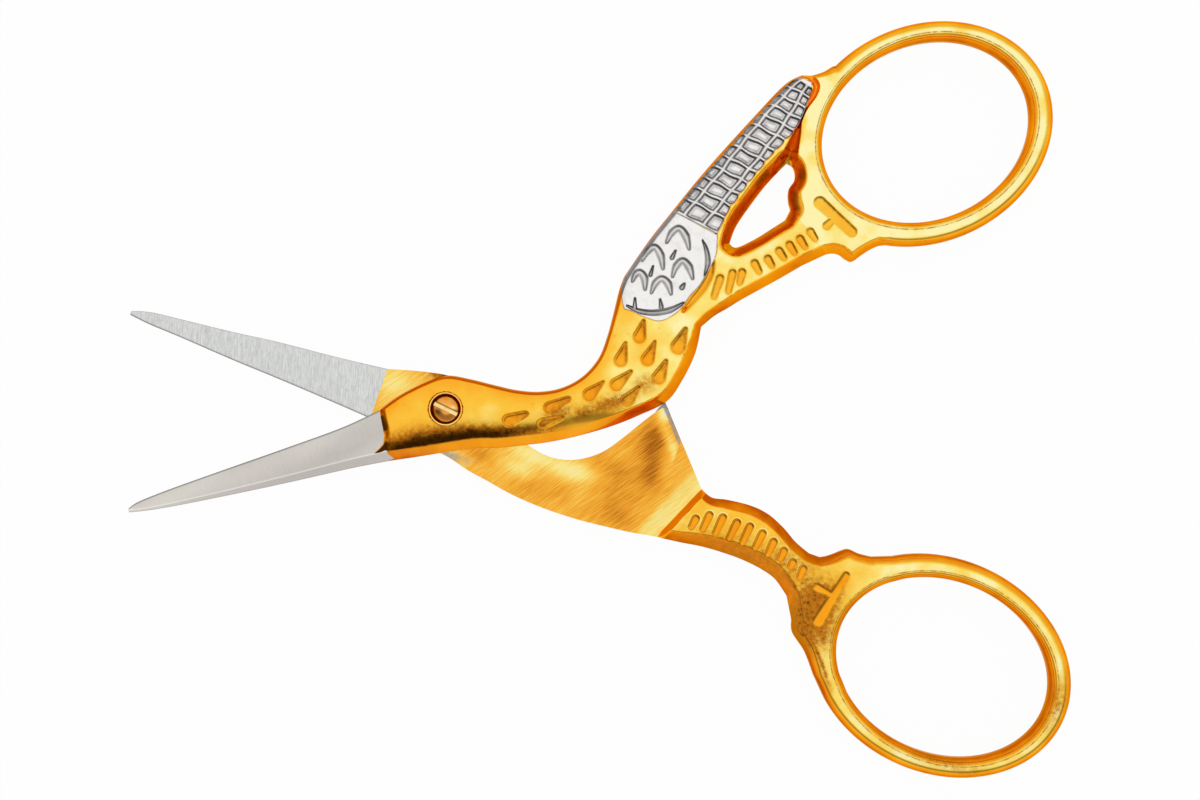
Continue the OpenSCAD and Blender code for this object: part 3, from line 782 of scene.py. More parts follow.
# The sums that a value can do with a number or with another value, by sign or by word
for word, kind in (("__add__", "ADD"), ("__sub__", "SUBTRACT"), ("__mul__", "MULTIPLY"), ("__pow__", "POWER"),
                   ("most", "MAXIMUM"), ("least", "MINIMUM"), ("over", "GREATER_THAN")):
    setattr(Value, word, lambda self, other, kind=kind: self.sum(kind, self, other))


def read(tree, name, output="Fac"):
    """One of the attributes that each piece carries."""
    return Value(put(tree, "ShaderNodeAttribute", attribute_name=name).outputs[output])


def ramp(source, stops):
    """Colours along a value, as (place, colour) pairs."""
    made = source.socket.id_data.nodes.new("ShaderNodeValToRGB")
    points = made.color_ramp.elements
    while len(points) < len(stops):
        points.new(0.5)
    for point, (place, colour) in zip(points, stops):
        point.position = place
        point.color = tuple(colour) + (1,)
    fill(made.inputs["Fac"], source)
    return Value(made.outputs["Color"])


def blend(share, first, second):
    """One colour over another by a share; a colour may be a tuple."""
    made = put(share.socket.id_data, "ShaderNodeMix", data_type="RGBA")
    for place, value in ((0, share), (6, first), (7, second)):
        fill(made.inputs[place], value)
    return Value(made.outputs[2])


def cloud(tree, scale, stretch=(1, 1, 1), turn=0.0, detail=3.0, rough=0.55):
    """Noise over the plan in millimetres, which may be stretched and turned into a grain."""
    place = put(tree, "ShaderNodeMapping", vector_type="TEXTURE")
    place.inputs["Rotation"].default_value = (0, 0, turn)
    place.inputs["Scale"].default_value = stretch
    fill(place.inputs["Vector"], read(tree, "plan", "Vector"))
    made = put(tree, "ShaderNodeTexNoise", Scale=scale, Detail=detail, Roughness=rough)
    fill(made.inputs["Vector"], Value(place.outputs["Vector"]))
    return Value(made.outputs["Fac"])


# Depth of the finest grain, in metres
GRAIN_DEEP = 0.00003


def material_of(name):
    """A new material, its tree and its shader."""
    made = bpy.data.materials.new(name)
    made.use_nodes = True
    return made, made.node_tree, made.node_tree.nodes["Principled BSDF"]


def finish(name, worked_out, glance=(1.0, 1.0, 1.0)):
    """A bare metal material, with the colour, the roughness, and the height and strength of the grain that are worked
    out for it. Seen at a low angle it takes on the glance colour."""
    material, tree, shader = material_of(name)
    shader.inputs["Metallic"].default_value = 1.0
    fill(shader.inputs["Specular Tint"], glance)
    colour, rough, grain, strength = worked_out(tree)
    made = put(tree, "ShaderNodeBump", Strength=strength, Distance=GRAIN_DEEP)
    fill(made.inputs["Height"], grain)
    for key, value in (("Base Color", colour), ("Roughness", rough), ("Normal", Value(made.outputs["Normal"]))):
        fill(shader.inputs[key], value)
    return material


BRIGHT_GOLD = (1.0, 0.9, 0.42)
PALE_GOLD = (0.98, 0.76, 0.18)
WARM_GOLD = (0.98, 0.56, 0.05)
DEEP_GOLD = (0.97, 0.37, 0.012)
RED_GOLD = (0.78, 0.22, 0.012)
BURNT_GOLD = (0.5, 0.09, 0.004)
GOLD_GLANCE = (1.0, 0.6, 0.2)
BROWN_GOLD = (0.5, 0.17, 0.01)
TARNISH = (0.06, 0.018, 0.001)
BARE_METAL = (0.33, 0.3, 0.29)
BAND_STEEL = (0.58, 0.52, 0.495)
DARK_LINE = (0.07, 0.065, 0.06)
BRIGHT_LINE = (0.96, 0.94, 0.91)
PLATE_GRIND = math.radians(52)
INNER_GRIND = math.radians(12)


def bloom(tree, colour):
    """Dark bloom and painted shade over a colour by the dark share of each place: brown first and then nearly black,
    and mottled where it is neither full nor none."""
    share = read(tree, "smoke")
    mottle = (cloud(tree, 2.6, detail=5, rough=0.7) - 0.5) * 7.0
    share = (share + share * (1.0 - share) * mottle).held()
    brown = (share * 1.8).held()
    dark = ((share - 0.66) * 3.0).held()
    return blend(dark, blend(brown, colour, BROWN_GOLD), TARNISH)


def polished_gold(tree):
    """Bright plated gold: pale on level faces and deeper on steep, sunk and warm ones, with cloudy tone, a few dark
    specks and a fine grain. The deeper colour of steep and sunk faces is painted shade, and stands also for less
    polished walls; where the sunk share is below nothing it is a painted highlight."""
    sunk = read(tree, "sunk") * 0.4
    form = (read(tree, "steep") ** 0.5).most(sunk) + sunk.least(0.0)
    wander = (cloud(tree, 0.35) - 0.34) * 0.55
    tone = (form + read(tree, "warm") * 0.42 + wander).held()
    colour = ramp(tone, [(0.0, BRIGHT_GOLD), (0.1, PALE_GOLD), (0.26, WARM_GOLD), (0.56, DEEP_GOLD), (0.84, RED_GOLD),
                         (1.0, BURNT_GOLD)])
    specks = cloud(tree, 1.7, detail=5).over(0.69) * 0.12
    colour = bloom(tree, blend(specks, colour, TARNISH))
    return colour, cloud(tree, 2.2) * 0.16 + 0.1, cloud(tree, 4.0, detail=4), 0.12


def brushed_gold(tree):
    """The flat inner plate: thin gold over a fine slanting grind, paler or browner by the warm share, and worn
    through to grey by the sunk share."""
    grain = cloud(tree, 1.0, (1.5, 0.075, 1), PLATE_GRIND, rough=0.5)
    bands = cloud(tree, 0.35, (1.2, 0.8, 1), PLATE_GRIND, detail=2)
    tone = grain * 0.55 + bands * 0.2 + read(tree, "warm") * 0.5
    colour = ramp(tone, [(0.08, (0.4, 0.12, 0.008)), (0.24, (0.82, 0.32, 0.025)), (0.37, (0.97, 0.47, 0.045)),
                         (0.5, (0.98, 0.66, 0.13)), (0.62, (1.0, 0.83, 0.26)), (0.76, (0.98, 0.84, 0.42)),
                         (0.9, (0.9, 0.8, 0.72))])
    sunk = read(tree, "sunk")
    worn = (sunk + (cloud(tree, 1.8, detail=5) - 0.5) * 1.2).held() * sunk.over(0.02)
    return bloom(tree, blend(worn, colour, BARE_METAL)), grain * 0.2 + 0.2, grain, 0.3


def plated_silver(tree):
    """White plating: bright on level faces, grey in the marks and on steep faces as painted shade, with the painted
    highlights and shade of its sunk and dark shares.
    """
    wander = (cloud(tree, 1.4, detail=5) - 0.5) * 0.35
    form = read(tree, "steep") ** 0.5 * 0.7 + read(tree, "sunk") * 0.5
    colour = ramp((form + wander + read(tree, "smoke") * 0.6).held(), [
        (0.0, (0.9, 0.88, 0.85)), (0.2, (0.66, 0.64, 0.63)), (0.5, (0.28, 0.27, 0.265)), (0.9, (0.08, 0.078, 0.076))])
    return colour, cloud(tree, 2.5) * 0.2 + 0.1, cloud(tree, 1.6, detail=4), 0.5


def lined(tree, colour):
    """A colour with the dark lines of the sunk share, and the bright ones, a painted highlight, where it is below
    nothing.
    """
    sunk = read(tree, "sunk")
    return blend((sunk * -0.8).held(), blend((sunk * 0.75).held(), colour, DARK_LINE), BRIGHT_LINE)


def satin_steel(tree):
    """The outer ground faces of the blades: an even satin, a little duller and pinker on the band along the spine."""
    grain = cloud(tree, 1.0, (0.05, 1.2, 1), math.radians(4), detail=5, rough=0.7)
    soft = cloud(tree, 0.16, (2.5, 0.8, 1), math.radians(8), detail=2)
    colour = ramp(grain * 0.35 + soft * 0.65, [
        (0.36, (0.58, 0.55, 0.505)), (0.5, (0.69, 0.65, 0.6)), (0.64, (0.79, 0.75, 0.69))])
    colour = blend(read(tree, "warm") * 0.4, colour, BAND_STEEL)
    return lined(tree, colour), grain * 0.16 + 0.26, grain, 0.12


def ground_steel(tree):
    """The flat inner faces of the blades: cross-ground, with fine scratches from edge to spine and bright flecks."""
    grain = cloud(tree, 1.0, (0.045, 1.6, 1), INNER_GRIND, detail=7, rough=0.75)
    fleck = cloud(tree, 1.0, (0.12, 0.5, 1), INNER_GRIND, detail=5, rough=0.8)
    tone = grain * 0.6 + fleck * 0.4
    colour = ramp(tone, [
        (0.36, (0.4, 0.41, 0.4)), (0.47, (0.64, 0.65, 0.63)), (0.56, (0.78, 0.79, 0.77)), (0.64, (0.93, 0.94, 0.91))])
    return lined(tree, colour), grain * 0.25 + 0.2, tone, 0.45


def copper_gold(tree):
    """The screw: a little redder than the halves, glossy, with small dents, the painted highlight of its sunk share and
    the painted shade of its dark share.
    """
    tone = (read(tree, "steep") + cloud(tree, 1.2) * 0.4 + read(tree, "sunk") * 0.4).held()
    colour = ramp(tone, [(0.0, (1.0, 0.78, 0.36)), (0.2, (0.97, 0.46, 0.09)), (0.42, (0.8, 0.26, 0.03)),
                         (0.8, (0.35, 0.1, 0.01))])
    colour = blend(read(tree, "smoke"), colour, TARNISH)
    return colour, cloud(tree, 3.0) * 0.12 + 0.04, cloud(tree, 2.0), 0.25


GOLD = finish("polished_gold", polished_gold, GOLD_GLANCE)
PLATE = finish("brushed_gold", brushed_gold, GOLD_GLANCE)
SILVER = finish("plated_silver", plated_silver)
SATIN = finish("satin_steel", satin_steel)
GROUND = finish("ground_steel", ground_steel)
COPPER = finish("copper_gold", copper_gold, GOLD_GLANCE)


def given(share, *rest):
    """A function of the plan, from one that needs more than the place."""
    return lambda x, y: share(x, y, *rest)


def mark_tone(x, y, grooves, twig):
    """Depth of the marks of a half, as a share of the deepest tone: painted shade that deepens the colour in the pits,
    and a painted highlight on the burr round each, which counts as below nothing.
    """
    return marks(x, y, grooves, twig, FULL_TONE) / FULL_TONE


def sunk_front(x, y):
    """Depth of the front half's marks, and of the groove along the shield."""
    return np.maximum(mark_tone(x, y, FRONT_GROOVES, FRONT_TWIG),
                      groove(x, y, GOLD_GROOVE, GOLD_GROOVE_HALF, 1.2, SOFT))


def drop_smoke(x, y):
    """Painted shade, brown, in the narrow half of each forged feather."""
    share = np.zeros(x.shape)
    for start, end, r0, r1 in DROPS:
        axis = np.array(end, float) - start
        along = ((x - start[0]) * axis[0] + (y - start[1]) * axis[1]) / (axis @ axis)
        within = step(0.02, -0.08, drop_shape(x, y, start, end, r0, r1))
        share = np.maximum(share, 0.34 * step(0.1, 0.7, along) * within)
    return share


def smoke_front(x, y):
    """Dark of the front neck: its bloom and painted dark band, painted shade in the forged feathers and the screw's
    pocket, a painted shadow in the hollow and a painted dark reflection on the wedge at its front end. A thin bright
    arc is left, a painted highlight, where the wedge meets the blade."""
    hollow = 1.4 * blot(x, y, (-5.6, 0.46), (0.36, 0.8), (4, 4))
    wedge = step(-0.7, -1.3, y) * step(-2.0, -1.9, y) * step(-4.9, -5.9, x)
    arc = step(0.12, 0.07, x - x[:1]) * (y < -0.3)
    dark = [smoke(x, y, FRONT_SIDES), drop_smoke(x, y), hollow, wedge, np.hypot(x, y) < RIM_R - 0.07]
    return np.maximum.reduce(dark) * (1 - arc)


def rim_line(x, y, hole):
    """A dark thin line where the level face of a bow turns down into its hole."""
    return 0.5 * glow(to_line(x, y, oval(hole, np.linspace(0, 360, HOLE_PLACES))) - 0.66, 0.05)


def shield_marks_and_painted_light(x, y):
    """The marks of the shield, grey by their depth, each with a painted highlight as a bright line along its floor, and
    painted shade as a soft grey towards its left border.
    """
    shine = np.maximum.reduce([groove(x, y, arch(*crescent), SHINE_HALF, 1.0, 2) for crescent in CRESCENTS])
    grey = 0.3 * glow(to_line(x, y, chain(SHIELD_LEFT, per=PER_GROOVE)), 0.5, 1.5)
    return shield_marks(x, y) / SHIELD_TONE - 0.45 * shine + grey


def feather_painted_light(x, y):
    """Painted light in each feather cell: painted shade in a border inside the cell, and a painted highlight on its
    floor, a bright oval that falls off to grey, dimmer in the left column than in the others. The lines between cells
    are left bright, a painted highlight."""
    line = to_feather_line(x, y)
    w, v = feather_place(x, y)
    row, part = feather_row(w)
    lines = [np.interp(w, GRID_W, line_v) for line_v in (GRID_OUT, GRID_ONE, GRID_TWO, GRID_END)]
    column = (v > lines[1]).astype(int) + (v > lines[2])
    first, last = np.choose(column, lines[:3]), np.choose(column, lines[1:])
    lean = 0.1 * np.sin(5.0 * row + 2.0 * column)
    bright = blot(part - lean, (v - first) / (last - first) + lean, (0.45, 0.5), (0.3, 0.36))
    dim = np.choose(column, [0.16, 0.0, 0.04])
    ring = (0.42 + 0.25 * np.sin(4.1 * x) * np.cos(3.3 * y)) * glow(line - 0.12, 0.05)
    floor = 0.42 * (1 - bright) + dim + 0.3 * step(38.3, 39.4, w)
    return np.where(line < 0.06, 0.3 * step(0.03, 0.06, line), np.maximum(ring, floor))


sunk_back = given(mark_tone, BACK_GROOVES, BACK_TWIG)
# The back neck's underside: the painted dark band along its crest, and the bloom patches
smoke_back = given(smoke, BACK_SIDES)
warm_front, warm_back = given(warm_neck, FRONT_SIDES), given(warm_neck, BACK_SIDES)
# Distances to the free end of the plate, and to the foot of the wall between the plate and the leg
to_free_end = given(to_line, [PLATE_CORNER, PLATE_NOTCH])
to_leg = given(to_line, [PLATE_NOTCH, PLATE_HEEL])

# Blades: thickness at the root's crest, at the tip and at the cutting edge, width of the band along the spine at root
# and tip, how far a blade runs on into the neck, and the places across its ground face and across the band
BLADE_ROOT_T = 1.3
BLADE_TIP_T = 0.4
EDGE_T = 0.06
BAND_ROOT = 0.9
BAND_TIP = 0.2
STUB = 0.5
FACET_PLACES = 40
BAND_PLACES = 10


def blade(name, body, edge_line, spine_line, face, up, material):
    """A blade on rows from its cutting edge to its spine: its thickness rises in a straight line from the edge to a
    crest, and drops to half over the polished band along the spine. Its sunk share is dark along the edge and the
    spine and bright along the crest, a painted highlight, and its warm share marks the band. Its first row stands
    twice, and one is moved back."""
    again = np.r_[0, 0:len(edge_line)]
    root, tip = FRONT_ROOT[0][0], -BLADE_REACH
    share = np.clip((edge_line[again, :1] - root) / (tip - root), 0, 1)
    wide = np.hypot(*(spine_line - edge_line).T)[again, None]
    thick = BLADE_ROOT_T + (BLADE_TIP_T - BLADE_ROOT_T) * share
    band = np.minimum(0.6 * wide, BAND_ROOT + (BAND_TIP - BAND_ROOT) * share)
    facet, strip = np.linspace(0, 1, FACET_PLACES), np.linspace(0, 1, BAND_PLACES)[1:]
    across = np.concatenate([facet * (1 - band / wide), 1 - band / wide * (1 - strip)], 1)
    plan = edge_line[again, None] * (1 - across[..., None]) + spine_line[again, None] * across[..., None]
    tang = edge_line[0] - edge_line[1]
    plan[0] += tang / math.hypot(*tang) * STUB
    rise = np.concatenate([EDGE_T + (thick - EDGE_T) * facet, thick * (1 - 0.5 * strip)], 1)
    rise[0] *= 0.7
    flat = np.full(rise.shape, face)
    flat[0] += 0.15 if up else -0.15
    high, low = (face + rise, flat) if up else (flat, face - rise)
    to_spine = wide * (1 - across)
    lines = 1.3 * glow(wide * across, 0.1) - glow(to_spine - band, 0.05) * up + 0.5 * glow(to_spine, 0.05)
    in_band = step(0.02, -0.06, to_spine - band)
    return solid(name, body, "blade_steel", material, plan[..., 0], plan[..., 1], high, low, sunk=lambda *_: lines,
                 warm=lambda *_: in_band)


front_blade = blade("front_blade_steel", "front_half", along_blade(FRONT_ROOT[0], FRONT_EDGE),
                    along_blade(FRONT_ROOT[1], FRONT_SPINE), FRONT_FACE, True, SATIN)
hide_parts("front_blade")
back_blade = blade("back_blade_steel", "back_half", along_blade(BACK_ROOT[1], BACK_EDGE),
                   along_blade(BACK_ROOT[0], BACK_SPINE), BACK_FACE, False, GROUND)
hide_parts("back_blade")

# Places across the rows: the front neck's are those of the wing and of the front leg, side by side
ACROSS_PLATE = spread(90)
ACROSS_BACK_LEG = spread(80)
ACROSS_WING = spread(58)
ACROSS_LEG = spread(46)
ACROSS_NECK = np.concatenate([ACROSS_WING * 0.55, 0.55 + ACROSS_LEG[1:] * 0.45])
# The front end of the neck: length of its step down to the blade, how far its edge lies beyond the root of the blade
# by Y, how far back that shifts the rows, the Y that the step starts at, and the distance from a blade's edge to its
# crest
HEAD_STEP = 0.62
HEAD_Y = [-2.84, -1.99, -1.88, -1.81, -1.6, -1.29, -0.67, 0.03, 1.03, 1.65]
HEAD_X = [-0.1, 0.07, -0.9, -1.11, -0.61, -0.2, 0.08, 0.1, 0.08, 0.1]
HEAD_BLEND = 1.4
STEP_FROM = -1.98
CREST_OUT = 3.6
# How far the step ends above the blade, and how far into the steel the gold over it reaches
OVER_BLADE = 0.01
INTO_BLADE = 0.04


def neck_high(x, y):
    """The decorated face of the front neck: it drops in a hollow to the blade at its front end, and is cut away for
    the screw head."""
    high = MID + front_outer(x, y)
    blade_z = FRONT_FACE + EDGE_T + (BLADE_ROOT_T - EDGE_T) * np.clip((FRONT_ROOT[0][1] - y) / CREST_OUT, 0, 1)
    ahead = np.maximum(-np.interp(y, HEAD_Y, HEAD_X), 0)
    share = step(0, HEAD_STEP, x - x[:1] - 0.7 * ahead) ** 1.2
    level = np.minimum(high, blade_z + OVER_BLADE)
    high = np.where(y > STEP_FROM, level + (high - level) * share, high)
    return np.where(np.hypot(x, y) < 0.5 * (POCKET_R + RIM_R), POCKET_FLOOR, high)


def neck_low(x, y):
    """The flat inner face of the front neck. Where the gold runs out over the blade, it stays inside the steel."""
    (x0, y0), (x1, y1) = FRONT_ROOT
    root = x0 + (x1 - x0) * (y0 - y) / (y0 - y1)
    return FRONT_FACE + INTO_BLADE * step(-0.02, 0.05, root - x)


x, y = rows(*FRONT_SIDES, ACROSS_NECK)
x = x + np.interp(y[:1], HEAD_Y, HEAD_X) * np.clip(1 - (x - x[:1]) / HEAD_BLEND, 0, 1) ** 2
front_neck = solid("front_neck_gold", "front_half", "gold_plating", (GOLD, PLATE), x, y, neck_high(x, y),
                   neck_low(x, y), side_walls=0, sunk=(sunk_front, None), smoke=(smoke_front, None),
                   warm=(warm_front, None))
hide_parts("front_neck")


def mirrored(name, body, x, y, up, **looks):
    """A solid of plated gold that is the same above and below the middle of the scissors."""
    return solid(name, body, "gold_plating", GOLD, x, y, MID + up, MID - up, **looks)


x, y = rows(FRONT_EDGES[1][0], chain(SEAM, WING_GAP, WING_SEAT, [WING_SEAT[-1], TAIL_TIP[1]]), ACROSS_WING)
front_wing = mirrored("front_wing_gold", "front_half", x, y, front_outer(x, y), sunk=sunk_front, smoke=smoke_gap,
                      warm=warm_gap)
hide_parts("front_wing")

x, y = rows(chain(SEAM, LEG_GAP, [LEG_GAP[-1], FRONT_FOOT[0]]), chain(LEG_BELLY, [LEG_BELLY[-1], FRONT_FOOT[1]]),
            ACROSS_LEG)
front_leg = mirrored("front_leg_gold", "front_half", x, y, front_outer(x, y), sunk=sunk_front, smoke=smoke_gap,
                     warm=warm_gap)
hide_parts("front_leg")


def pale_bow(x, y):
    """Share of redder gold of the front bow: less than elsewhere, but for the walls of the gap."""
    return warm_gap(x, y) - 0.22


def smoke_front_bow(x, y):
    """Dark of the front bow: the dark line round its hole, and the painted shade on the walls of the gap."""
    return np.maximum(rim_line(x, y, FRONT_HOLE), smoke_gap(x, y))


# Places across a bow and how crowded they are at its edges, those along the ends of the tail and the feet, and those
# to a span of a spur's upper line
BOW_ACROSS = spread(64, 0.6)
TAIL_PLACES = 16
FRONT_FOOT_PLACES = 60
BACK_FOOT_PLACES = 80
PER_SPUR = 12


def bow(name, body, loop, hole, outer, **looks):
    """A finger bow: each row runs from the hole's edge to the place of the outline in the same direction."""
    away = loop - np.array(hole["centre"])
    x, y = rows(oval(hole, np.degrees(np.arctan2(away[:, 1], away[:, 0]))), loop, BOW_ACROSS)
    return mirrored(name, body, x, y, outer(x, y), loop=True, **looks)


front_loop = np.concatenate([
    oval(FRONT_RING, np.linspace(*FRONT_ROUND, ROUND_PLACES)[:-1:2]), smooth(NECKLINE),
    straight(*TAIL_TIP, TAIL_PLACES), chain(WING_SEAT, [WING_SEAT[-1], TAIL_TIP[1]])[:0:-1], smooth(BOW_GAP),
    straight(*FRONT_FOOT, FRONT_FOOT_PLACES), smooth(FRONT_SPUR, PER_SPUR)])
front_bow = bow("front_bow_gold", "front_half", front_loop, FRONT_HOLE, front_outer, sunk=sunk_front,
                smoke=smoke_front_bow, warm=pale_bow)
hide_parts("front_bow")

# The plate of the back half: length of the slope at its free end, the width of the wall that the leg rises in from it,
# of the ramp before that wall, which has a painted highlight, and the depth of the dip there
END_SLOPE = 0.4
LEG_WALL = 0.5
RAMP_WIDE = 1.9
RAMP_DIP = 0.06
# Places on the plate that are paler or browner than the rest, as [place, half lengths, how much]
PLATE_TONES = [((8.1, -1.6), (1.5, 0.8), 0.5), ((11.9, -2.0), (2.6, 0.9), 0.62), ((15.8, -1.6), (2.6, 2.2), -0.34),
               ((18.3, 2.7), (1.4, 1.8), -0.58), ((18.8, -0.1), (1.0, 1.4), -0.5), ((18.6, 5.3), (0.6, 0.8), 1.0),
               ((4.0, -3.0), (1.3, 0.8), -0.26), ((7.7, -3.2), (1.4, 0.7), 0.4), ((1.0, -3.7), (1.8, 0.8), 0.4),
               ((-4.9, 0.6), (1.8, 1.6), 0.42), ((9.4, -4.6), (3.4, 1.1), -0.2), ((17.0, -4.8), (1.7, 1.2), -0.22)]


def plate_high(x, y):
    """The flat inner face: it slopes off towards the free end and dips a little before the wall of the leg."""
    away = to_leg(x, y)
    dip = RAMP_DIP * step(0.0, 0.3, away) * (1 - step(0.5, RAMP_WIDE, away))
    return BACK_FACE - 0.5 * LAND * (1 - np.clip(to_free_end(x, y) / END_SLOPE, 0, 1)) - dip


def warm_plate(x, y):
    """Tone of the plate: the named places, a pale strip along the free end and a painted highlight on the ramp before
    the leg.
    """
    tone = 0.5 * glow(to_free_end(x, y) - 0.9, 0.5) * step(5.2, 3.0, y)
    for place, half, more in PLATE_TONES:
        tone = tone + more * blot(x, y, place, half)
    bright = step(RAMP_WIDE, RAMP_WIDE - 0.7, to_leg(x, y))
    return np.clip(tone * (1 - bright) + 0.44 * bright, -1, 1)


def bare_plate(x, y):
    """Share of the plate that is worn to grey: the edge of its free end, and the place that the other neck rubs."""
    strip = 0.8 * step(0.42, 0.3, to_free_end(x, y)) * step(0.6, 1.6, y)
    return np.maximum(strip, 0.75 * blot(x, y, (1.3, -3.9), (1.5, 0.45)))


def smoke_plate(x, y):
    """Painted shadow at the edge of the plate where it comes out from under the neck."""
    return 0.75 * blot(x, y, (-1.4, 2.75), (1.2, 0.5))


def warm_leg(x, y):
    """Share of redder gold on the back leg: even, and less than its steepness gives on the wall that rises from the
    plate."""
    return 0.4 - 0.9 * step(LEG_WALL + 0.1, LEG_WALL, to_leg(x, y))


def warm_bow(x, y):
    """Share of redder gold on the back bow: the leg's, running out along it."""
    return 0.35 * step(44, 34, x)


def smoke_leg(x, y):
    """Dark bloom round the twig mark of the back half, and along the lower edge of its leg."""
    round_twig = 0.7 * blot(x, y, (35.9, -7.8), (2.1, 3.2), (4, 4))
    along_leg = 0.36 * blot(x, y, (29.5, -4.6), (6.0, 1.5), (4, 2))
    low = to_line(x, y, BACK_LEG_LOW[-3:] + BACK_SPUR_LOW[1:])
    line = 0.7 * step(31, 33.5, x) * glow(low - 1.0, 0.2)
    return np.maximum.reduce([round_twig, along_leg, line]) * (1 - np.clip(1.5 * sunk_back(x, y), 0, 1))


def smoke_bow(x, y):
    """Dark of the back bow: the leg's bloom, the dark line round its hole, and two worn patches, at its end and on its
    side."""
    at_end = 0.34 * blot(x, y, (58.6, -9.5), (0.8, 2.2))
    on_side = 0.28 * blot(x, y, (50.6, -16.9), (3.4, 0.6))
    return np.maximum.reduce([smoke_leg(x, y) * step(40, 37.5, x), rim_line(x, y, BACK_HOLE), at_end, on_side])


left = np.concatenate([BACK_SIDES[0][:-1], straight(PLATE_CORNER, PLATE_NOTCH, PER), [PLATE_NOTCH]])
right = np.concatenate([BACK_SIDES[1][:-1], straight(PLATE_TURN, PLATE_HEEL, PER), [PLATE_HEEL]])
x, y = rows(left, right, ACROSS_PLATE)
back_neck = solid("back_neck_gold", "back_half", "gold_plating", (PLATE, GOLD), x, y, plate_high(x, y),
                  MID - back_outer(x, y), sunk=(bare_plate, sunk_back), smoke=(smoke_plate, smoke_back),
                  warm=(warm_plate, warm_back))
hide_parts("back_neck")

# The upper face of the back leg starts as a steep wall that rises from the plate
x, y = rows(BACK_EDGES[4][0], BACK_EDGES[5][0], ACROSS_BACK_LEG)
up = back_outer(x, y)
back_leg = solid("back_leg_gold", "back_half", "gold_plating", GOLD, x, y,
                 BACK_FACE + (MID + up - BACK_FACE) * step(0, LEG_WALL, to_leg(x, y)), MID - up, sunk=sunk_back,
                 smoke=smoke_leg, warm=warm_leg)
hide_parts("back_leg")

back_loop = np.concatenate([
    oval(BACK_RING, np.linspace(*BACK_ROUND, ROUND_PLACES)[:-1:2]), smooth(BACK_SPUR_TOP, PER_SPUR),
    straight(*BACK_FOOT, BACK_FOOT_PLACES), smooth(BACK_SPUR_LOW)])
back_bow = bow("back_bow_gold", "back_half", back_loop, BACK_HOLE, back_outer, sunk=sunk_back, smoke=smoke_bow,
               warm=warm_bow)
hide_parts("back_bow")


def front_level(x, y):
    """The gold level that the silver of the front half follows."""
    return LAND + (LEG_UP - LAND) * fall(x, y, FRONT_EDGES)


def back_level(x, y):
    """The gold level that the silver of the back half follows."""
    return LAND + (LEG_UP - dome(x, y, BACK_SIDES) - LAND) * fall(x, y, BACK_EDGES)


def silver(name, body, left, right, level_of, marks_in, sunk_of, count, over):
    """A silver inlay between two borders, with `count` places across: it follows the gold, a hair proud of it, rounds
    off at its own border and is cut by its marks. It lies on the upper face, or else on the lower one."""
    x, y = rows(left, right, spread(count, 0.3))
    level = level_of(x, y)
    d = to_line(x, y, np.concatenate([left, right[::-1], left[:1]]))
    face = level + SILVER_PROUD - 0.04 * (1 - np.clip(d / 0.08, 0, 1)) ** 2 - marks_in(x, y) * step(0.0, 0.15, d)
    back = np.maximum(level - SILVER_THICK, SILVER_INSIDE)
    high, low = (MID + face, MID + back) if over else (MID - back, MID - face)
    return solid(name, body, "silver_plating", SILVER, x, y, high, low, sunk=sunk_of)


FEATHER_ROWS = 330
shield_left, shield_right = chain(SHIELD_LEFT), chain(SHIELD_RIGHT)
split = SHOULDER_PAIR * PER
w = np.linspace(GRID_W[0] + 0.04, GRID_W[-1], FEATHER_ROWS)
border_left, border_right = (from_wv(w, v) for v in feather_border(w))
shield, feathers = (shield_marks, shield_marks_and_painted_light), (feather_marks, feather_painted_light)
shield_over = silver("shield_over_silver", "front_half", shield_left, shield_right, front_level, *shield,
                     count=100, over=True)
feathers_over = silver("feathers_over_silver", "front_half", border_left, border_right, front_level, *feathers,
                       count=96, over=True)
shield_under = silver("shield_under_silver", "front_half", shield_left[split:], shield_right[split:], front_level,
                      *shield, count=80, over=False)
feathers_under = silver("feathers_under_silver", "front_half", border_left[::2], border_right[::2], front_level,
                        *feathers, count=72, over=False)
plate_shield = silver("plate_shield_silver", "back_half", shield_left[:split - 4], shield_right[:split - 4],
                      back_level, *shield, count=80, over=False)
for piece, node in ((shield_over, "front_wing"), (feathers_over, "front_wing"), (shield_under, "front_wing"),
                    (feathers_under, "front_wing"), (plate_shield, "back_neck")):
    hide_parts(node)

# How far the walls of the slot lean, and the places across a curved flank of the head, across the floor of the slot,
# and along a row
SLOT_LEAN = 0.004
FLANK_PLACES = 40
SLOT_PLACES = 8
CHORD_PLACES = 60


def slot_smoke(x, y):
    """Painted shade in the slot and at its walls, and down the side of the head."""
    along, across = turned(x, y, -HALF_OPENING - SLOT_TURN)
    wall = glow(np.abs(across) - SLOT_HALF, 0.07) * (across > 0)
    shade = blot(along, across, (-0.55, -0.5), (0.4, 0.3))
    return 0.8 * np.maximum(wall, shade) + 0.8 * (np.hypot(x, y) > SCREW_R - 0.01)


def slot_painted_highlight(x, y):
    """Painted highlight on the floor of the slot, and in a patch above its lower end."""
    along, across = turned(x, y, -HALF_OPENING - SLOT_TURN)
    return -np.maximum(0.4 * (np.abs(across) < SLOT_HALF), 0.6 * blot(along, across, (0.6, 0.4), (0.3, 0.2)))


